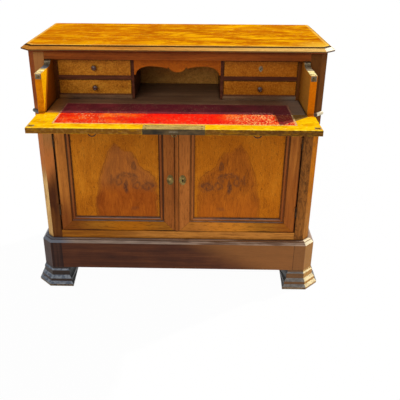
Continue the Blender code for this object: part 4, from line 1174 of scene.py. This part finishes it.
# Leather: where its tooled grooves run, in from its edge, and how deep they and the soft swells are
TOOLED = (
    (0.0000, -0.0004), (0.0004, -0.0001), (0.0010, 0.0), (0.0022, 0.0), (0.0028, -0.0002),
    (0.0034, 0.0), (0.0056, 0.0), (0.0062, -0.0002), (0.0068, 0.0), (0.0100, 0.0),
)
LEATHER_CELL = 0.012
SWELL_DEPTH = 0.00008
SWELL_START = 0.02


def leather_stations(low, high):
    """Places along one side of a leather: close together by the ends, evenly spaced between."""
    margin = TOOLED[-1][0]
    count = max(2, round((high - low - 2 * margin) / LEATHER_CELL))
    middle = [low + margin + (high - low - 2 * margin) * i / count for i in range(1, count)]
    return [low + inset for inset, _ in TOOLED] + middle + [high - inset for inset, _ in reversed(TOOLED)]


def leather_height(inset, x, y):
    """Height of a leather above its plain face: tooled by the edge, slightly uneven further in."""
    swell = math.sin(x * 31.0 + y * 17.0) * math.cos(x * 11.0 - y * 43.0) * min(1.0, inset / SWELL_START)
    tooled = 0.0
    for (inset_a, height_a), (inset_b, height_b) in zip(TOOLED, TOOLED[1:]):
        if inset_a <= inset <= inset_b:
            tooled = height_a + (height_b - height_a) * (inset - inset_a) / (inset_b - inset_a)
    return tooled + SWELL_DEPTH * swell


def make_leather(node, body, material):
    """A stuck-down leather with tooled grooves round it."""
    low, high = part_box(node)
    shape = bmesh.new()
    columns = leather_stations(low.x, high.x)
    grid = []
    for y in leather_stations(low.y, high.y):
        line = []
        for x in columns:
            inset = min(x - low.x, high.x - x, y - low.y, high.y - y)
            line.append(shape.verts.new((x, y, high.z + leather_height(inset, x, y))))
        grid.append(line)
    for first, second in zip(grid, grid[1:]):
        for i in range(len(columns) - 1):
            shape.faces.new((first[i], first[i + 1], second[i + 1], second[i]))
    rim = [edge for edge in shape.edges if edge.is_boundary]
    for vert in bmesh.ops.extrude_edge_only(shape, edges=rim)["geom"]:
        if isinstance(vert, bmesh.types.BMVert):
            vert.co.z = low.z
    bmesh.ops.contextual_create(shape, geom=[edge for edge in shape.edges if edge.is_boundary])
    piece = place_piece(f"{node}_skin", shape, (material,), body)
    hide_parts(node)


# Knob profile from the drawer's front outwards, as shares of its radius and its length
KNOB = (
    (0.66, 0.00), (0.68, 0.03), (0.66, 0.07), (0.58, 0.10), (0.52, 0.16), (0.48, 0.26), (0.52, 0.34),
    (0.70, 0.42), (0.90, 0.52), (0.99, 0.63), (1.00, 0.72), (0.96, 0.82), (0.85, 0.91), (0.66, 0.965),
    (0.56, 0.955), (0.50, 0.935), (0.44, 0.955), (0.30, 0.985), (0.12, 1.00), (0.03, 1.00),
)


def make_knob(node, body, material):
    low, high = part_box(node)
    middle = middle_of(node)
    seat = Seat(ON_FRONT, middle.x, high.y, middle.z)
    radius = (high.x - low.x) / 2
    length = high.y - low.y
    shape = bmesh.new()
    skin_rings(shape, [polar_ring(seat, length * h, oval(radius * r, radius * r)) for r, h in KNOB])
    piece = place_piece(f"{node}_turned", shape, (material,), body)
    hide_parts(node)


# Strip on a drawer side: thickness, ease and shoulder of its section, tail in the carcase, sweep and screws
STRIP_THICK = 0.0007
STRIP_EASE = 0.0006
STRIP_SHOULDER = 0.7
STRIP_TAIL = 0.004
SWEEP_POINTS = 8
STRIP_SCREWS = (0.012, 0.055, 0.098)
STRIP_SCREW_RADIUS = 0.0032


def side_top_path(front, top):
    """Along a drawer side's top edge, from its end up the hollow sweep into the carcase."""
    start = FRONT - SWEEP_START
    path = [(front, top), ((front + start) / 2, top)]
    for i in range(SWEEP_POINTS + 1):
        angle = math.pi / 2 * i / SWEEP_POINTS
        path.append((start + SWEEP_LENGTH * math.sin(angle), top + SWEEP_RISE * (1 - math.cos(angle))))
    return path + [(FRONT + STRIP_TAIL, top + SWEEP_RISE)]


def make_side_strip(side, front, middle, metal):
    """The metal strip let on to the top edge of a drawer side."""
    top = middle.z + CATCH_DROP
    half = SIDE_WIDTH / 2 - STRIP_EASE
    inner = half - STRIP_EASE
    right = [(inner, 1), (half, STRIP_SHOULDER), (half, 0)]
    section = [(-x, rise) for x, rise in reversed(right)] + right
    path = side_top_path(front + STRIP_EASE, top)
    rings = []
    for i, (y, z) in enumerate(path):
        before, after = path[max(0, i - 1)], path[min(len(path) - 1, i + 1)]
        along = Vector((0, after[0] - before[0], after[1] - before[1])).normalized()
        up = Vector((1, 0, 0)).cross(along)
        rings.append([Vector((middle.x + x, y, z)) + up * (STRIP_THICK * rise) for x, rise in section])
    shape = bmesh.new()
    skin_rings(shape, rings)
    place_piece(f"{side}_side_strip", shape, (metal,), "secretary_drawer")
    seats = [Seat(ON_TOP, middle.x, front + y, top + STRIP_THICK) for y in STRIP_SCREWS]
    make_screws(f"{side}_strip_screws", seats, STRIP_SCREW_RADIUS, "secretary_drawer", metal)


# Catch plates and strikes, with their holes; where the fall's pivot is measured from, behind its leather
CATCH_PLATE = rectangle(0.0098, 0.0092)
CATCH_HOLE = oval(0.0043, 0.0043)
STRIKE_PLATE = rectangle(0.0105, 0.0085)
STRIKE_HOLE = rectangle(0.0064, 0.0064)
PIVOT_BACK = 0.0012


def make_catch_fittings(metal, dull):
    """Plates round the spring catches on the drawer's sides, and the strikes let into the fall."""
    pivot_z = (FALL_TOP + FALL_UNDER) / 2
    pivot_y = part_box("fall_leather")[1].y + PIVOT_BACK - (FALL_TOP - FALL_UNDER) / 2
    for side in SIDES:
        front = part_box(f"{side}_catch_bolt")[0].y + CATCH_REACH
        middle = middle_of(f"{side}_catch_bolt")
        make_side_strip(side, front, middle, metal)
        seat = Seat(ON_FRONT, middle.x, front, middle.z)
        make_holed_plate(f"{side}_catch_plate", seat, CATCH_PLATE, CATCH_HOLE, "secretary_drawer", dull)
        seat = Seat(ON_TOP, middle.x, pivot_y - (middle.z - pivot_z), FALL_TOP)
        make_holed_plate(f"{side}_strike", seat, STRIKE_PLATE, STRIKE_HOLE, "fall", dull)


# Lock screws: how far they stand in from the plate's corners, and their radius
LOCK_SCREW_X = 0.010
LOCK_SCREW_Y = 0.009
LOCK_SCREW_RADIUS = 0.0034
# Pull plates: outline, hole and thickness
PULL_PLATE = scalloped(0.0150, 0.0150, 0.05, 8)
PULL_HOLE = rectangle(0.0043, 0.0053)
PULL_THICK = 0.0012


def make_lock_screws(metal):
    low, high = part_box("fall_lock")
    seats = []
    for x in (low.x + LOCK_SCREW_X, high.x - LOCK_SCREW_X):
        for y in (low.y + LOCK_SCREW_Y, high.y - LOCK_SCREW_Y):
            seats.append(Seat(ON_TOP, x, y, high.z))
    make_screws("lock_screws", seats, LOCK_SCREW_RADIUS, "fall", metal)


def make_pull_plates(iron):
    """Round plates on the fall's outer face, through which the eyes of the pull rings stand."""
    for side in SIDES:
        ring = middle_of(f"{side}_pull_ring")
        seat = Seat(ON_UNDERSIDE, ring.x, ring.y, FALL_UNDER)
        make_holed_plate(f"{side}_pull_plate", seat, PULL_PLATE, PULL_HOLE, "fall", iron,
                         PULL_THICK, PULL_THICK)


def make_camera():
    pitch, yaw, roll = (math.radians(v) for v in (CAMERA_PITCH, CAMERA_YAW, CAMERA_ROLL))
    data = bpy.data.cameras.new("photo_view")
    data.lens = CAMERA_LENS
    data.sensor_width = CAMERA_SENSOR
    data.shift_x = CAMERA_SHIFT
    data.clip_end = CAMERA_SIGHT
    camera = bpy.data.objects.new("photo_view", data)
    bpy.context.scene.collection.objects.link(camera)
    camera.matrix_world = Matrix.Translation(Vector(CAMERA_PLACE) + Vector((0, FRONT, 0)))
    for angle, axis in ((-yaw, "Z"), (math.pi / 2 - pitch, "X"), (roll, "Z")):
        camera.matrix_world = camera.matrix_world @ Matrix.Rotation(angle, 4, axis)
    bpy.context.scene.camera = camera


def make_sun(name, travel, strength, angle, colour=(1, 1, 1)):
    data = bpy.data.lights.new(name, "SUN")
    data.energy = strength
    data.angle = math.radians(angle)
    data.color = colour
    lamp = bpy.data.objects.new(name, data)
    lamp.rotation_euler = Vector(travel).to_track_quat("-Z", "Y").to_euler()
    bpy.context.scene.collection.objects.link(lamp)


def whiten(tree, lit, white, share, output):
    """Mixes white into a shader for rays that show it as such: straight, mirrored or through glass."""
    path = tree.nodes.new("ShaderNodeLightPath")
    seen = path.outputs["Is Camera Ray"]
    for kind, ray in (("MAXIMUM", "Is Glossy Ray"), ("MAXIMUM", "Is Transmission Ray"), ("MULTIPLY", None)):
        node = tree.nodes.new("ShaderNodeMath")
        node.operation = kind
        node.inputs[1].default_value = share
        tree.links.new(seen, node.inputs[0])
        if ray:
            tree.links.new(path.outputs[ray], node.inputs[1])
        seen = node.outputs[0]
    mix = tree.nodes.new("ShaderNodeMixShader")
    for socket, value in zip(mix.inputs, (seen, lit.outputs[0], white.outputs[0])):
        tree.links.new(value, socket)
    tree.links.new(mix.outputs[0], tree.nodes[output].inputs["Surface"])


def make_sky():
    world = bpy.data.worlds.new("even_sky")
    bpy.context.scene.world = world
    world.use_nodes = True
    tree = world.node_tree
    light = tree.nodes["Background"]
    white = tree.nodes.new("ShaderNodeBackground")
    for node, strength in ((light, SKY_STRENGTH), (white, 1.0)):
        node.inputs["Color"].default_value = (1, 1, 1, 1)
        node.inputs["Strength"].default_value = strength
    whiten(tree, light, white, 1.0, "World Output")


def make_floor():
    mesh = bpy.data.meshes.new("floor")
    shape = bmesh.new()
    bmesh.ops.create_grid(shape, x_segments=1, y_segments=1, size=FLOOR_HALF)
    shape.to_mesh(mesh)
    shape.free()
    floor = bpy.data.objects.new("floor", mesh)
    bpy.context.scene.collection.objects.link(floor)
    material = bpy.data.materials.new("pale_floor")
    material.use_nodes = True
    tree = material.node_tree
    shader = tree.nodes["Principled BSDF"]
    shader.inputs["Base Color"].default_value = (FLOOR_GREY, FLOOR_GREY, FLOOR_GREY, 1)
    shader.inputs["Roughness"].default_value = FLOOR_ROUGHNESS
    shader.inputs["Specular IOR Level"].default_value = 0.0
    glow = tree.nodes.new("ShaderNodeEmission")
    glow.inputs["Strength"].default_value = 1.0
    whiten(tree, shader, glow, FLOOR_WHITE_SHARE, "Material Output")
    mesh.materials.append(material)


def both(pattern):
    return [pattern.format(side) for side in SIDES]


def door_parts(*parts):
    return [name for part in parts for name in both("{}_door_" + part)]


def dress_wood(nodes, name, along, seed, *tones, width=EASED_EDGE, **look):
    dress(nodes, polished_wood(name, along, seed, tones, **look), width)


def dress_carcase():
    dress_wood(["top_board"], "top_walnut", "X", 1.0, (160, 82, 3), (187, 105, 4), (210, 131, 9),
               touch=touch_top, wear=0.3, sway=0.05, specular=0.0)
    dress_wood(["waist_rail", "bottom_rail"], "rail_walnut", "X", 2.0,
               (126, 69, 17), (157, 94, 25), (180, 115, 33), touch=touch_rail)
    # The frieze has the rail's walnut darkened and reddened as painted shade under the top.
    dress_wood(["frieze_rail"], "frieze_walnut", "X", 2.2, (100, 46, 12), (126, 62, 18), (146, 76, 24))
    dress_wood(both("{}_post"), "post_walnut", "Z", 4.0, (88, 48, 20), (118, 70, 30), (144, 90, 40),
               touch=touch_post, sway=0.03, specular=0.015)
    dress_wood(both("{}_side"), "side_walnut", "Z", 5.0, (112, 58, 20), (150, 84, 30), (176, 104, 38),
               sway=0.04)
    dress_wood(["plinth_front"] + both("plinth_{}"), "plinth_walnut", "X", 6.0,
               (50, 25, 16), (76, 40, 23), (98, 55, 30),
               touch=touch_plinth, wear=0.4, flecks=0.10, specular=0.12)
    dress_wood(["waist_moulding"], "moulding_walnut", "X", 7.0, (50, 34, 26), (82, 60, 46), (112, 88, 66),
               touch=touch_waist, wear=0.5, specular=0.2)
    dress_wood(both("front_{}_foot") + both("rear_{}_foot"), "foot_walnut", "X", 8.0,
               (38, 28, 22), (62, 46, 34), (90, 68, 48), touch=touch_foot, wear=0.1, specular=0.2)
    dress_wood(["back_panel", "dust_board", "cupboard_floor", "cupboard_shelf"], "plain_wood", "X", 9.0,
               (124, 88, 52), (158, 116, 72), (184, 142, 94), gloss=0.6)


def dress_doors():
    dress_wood(door_parts("top_rail", "bottom_rail"), "door_rail_walnut", "X", 2.5,
               (112, 62, 14), (146, 88, 20), (170, 110, 28), touch=touch_door, flecks=0.5)
    dress_wood(door_parts("outer_stile"), "stile_walnut", "Z", 3.0,
               (130, 73, 27), (168, 101, 39), (192, 121, 49), touch=touch_door, metal=knuckle_metal)
    dress_wood(door_parts("meeting_stile"), "meeting_walnut", "Z", 3.5,
               (112, 58, 20), (146, 82, 32), (168, 100, 40), touch=touch_door, flecks=0.42)
    dress(door_parts("panel"), panel_material("crotch_walnut"))


def dress_drawer():
    dress_wood(["writing_bed"], "bed_walnut", "X", 10.0, (74, 50, 35), (106, 76, 54), (132, 100, 72),
               touch=touch_bed)
    dress_wood(both("drawer_{}_side"), "drawer_side_walnut", "Y", 11.0,
               (176, 98, 4), (204, 122, 7), (220, 142, 14), touch=touch_side, specular=0.01)
    dress_wood(both("{}_divider") + both("{}_nest_shelf"), "nest_walnut", "X", 12.0,
               (50, 24, 15), (78, 40, 25), (102, 58, 36), width=FINE_EDGE)
    dress_wood(["fall_board"], "fall_walnut", "X", 14.0, (206, 142, 4), (224, 170, 6), (236, 194, 12),
               touch=touch_fall, wear=0.3, sway=0.05, specular=0.0, metal=eye_metal, flecks=0.42)
    back = burr_wood("nest_back_walnut", 3.0, ((164, 106, 44), (210, 144, 64), (238, 174, 86)),
                     touch_nest_back)
    burr = burr_wood("burr_walnut", 0.0, ((130, 74, 14), (168, 104, 24), (194, 132, 40)),
                     touch_small_drawer)
    apron = burr_wood("apron_walnut", 6.0, ((134, 64, 9), (160, 82, 13), (178, 98, 18)))
    dress(["drawer_back"], back, FINE_EDGE)
    dress(both("upper_{}_drawer_box") + both("lower_{}_drawer_box"), burr, FINE_EDGE)
    dress(["apron"], apron, FINE_EDGE)
    # One leather: the bed's tones are it in painted shade, the fall's in painted light.
    crimson = leather_material("bed_crimson_in_painted_shade", "bed_leather", False,
                               ((84, 20, 34), (104, 30, 42), (122, 42, 50)), (150, 110, 84))
    red = leather_material("fall_crimson_in_painted_light", "fall_leather", True,
                           ((200, 18, 3), (218, 52, 6), (228, 104, 16)), (214, 186, 128))
    make_leather("bed_leather", "secretary_drawer", crimson)
    make_leather("fall_leather", "fall", red)


def dress_metal():
    brass = metal_material("old_brass", (58, 46, 22), (112, 92, 46), (166, 142, 84))
    dull = metal_material("dull_plate", (70, 60, 46), (112, 98, 76), (152, 136, 108))
    iron = metal_material("dark_iron", (30, 26, 22), (50, 42, 36), (80, 70, 58))
    hinge = metal_material("patinated_hinge", (34, 24, 16), (52, 38, 24), (78, 60, 40))
    dress(["fall_lock"], lock_material("lock_brass"), FINE_EDGE)
    dress(both("{}_catch_bolt"), brass, FINE_EDGE)
    dress(both("{}_pull_ring"), iron, 0)
    dress(["fall_key"], brass, 0)
    dress(["fall_lock_bolt"], dull, FINE_EDGE)
    dress(both("{}_upper_hinge") + both("{}_lower_hinge"), hinge, HINGE_EDGE)
    make_catch_fittings(strip_material("strip_in_painted_light_and_shade"), dull)
    make_lock_screws(brass)
    make_pull_plates(iron)
    make_escutcheons(brass, dull, dark_material("keyhole_dark"))


def make_knobs():
    wood = polished_wood("knob_wood", "Z", 15.0, ((48, 26, 16), (74, 40, 24), (100, 60, 36)),
                         gloss=0.24, specular=0.5)
    for drawer in ("upper_left_drawer", "lower_left_drawer", "lower_right_drawer"):
        make_knob(f"{drawer}_knob", drawer, wood)


bpy.context.scene.view_settings.view_transform = "Standard"
make_camera()
make_sky()
make_floor()
make_sun("key", KEY_TRAVEL, KEY_STRENGTH, KEY_ANGLE, KEY_COLOUR)
make_sun("fill", FILL_TRAVEL, FILL_STRENGTH, FILL_ANGLE)
dress_carcase()
dress_doors()
dress_drawer()
dress_metal()
make_knobs()
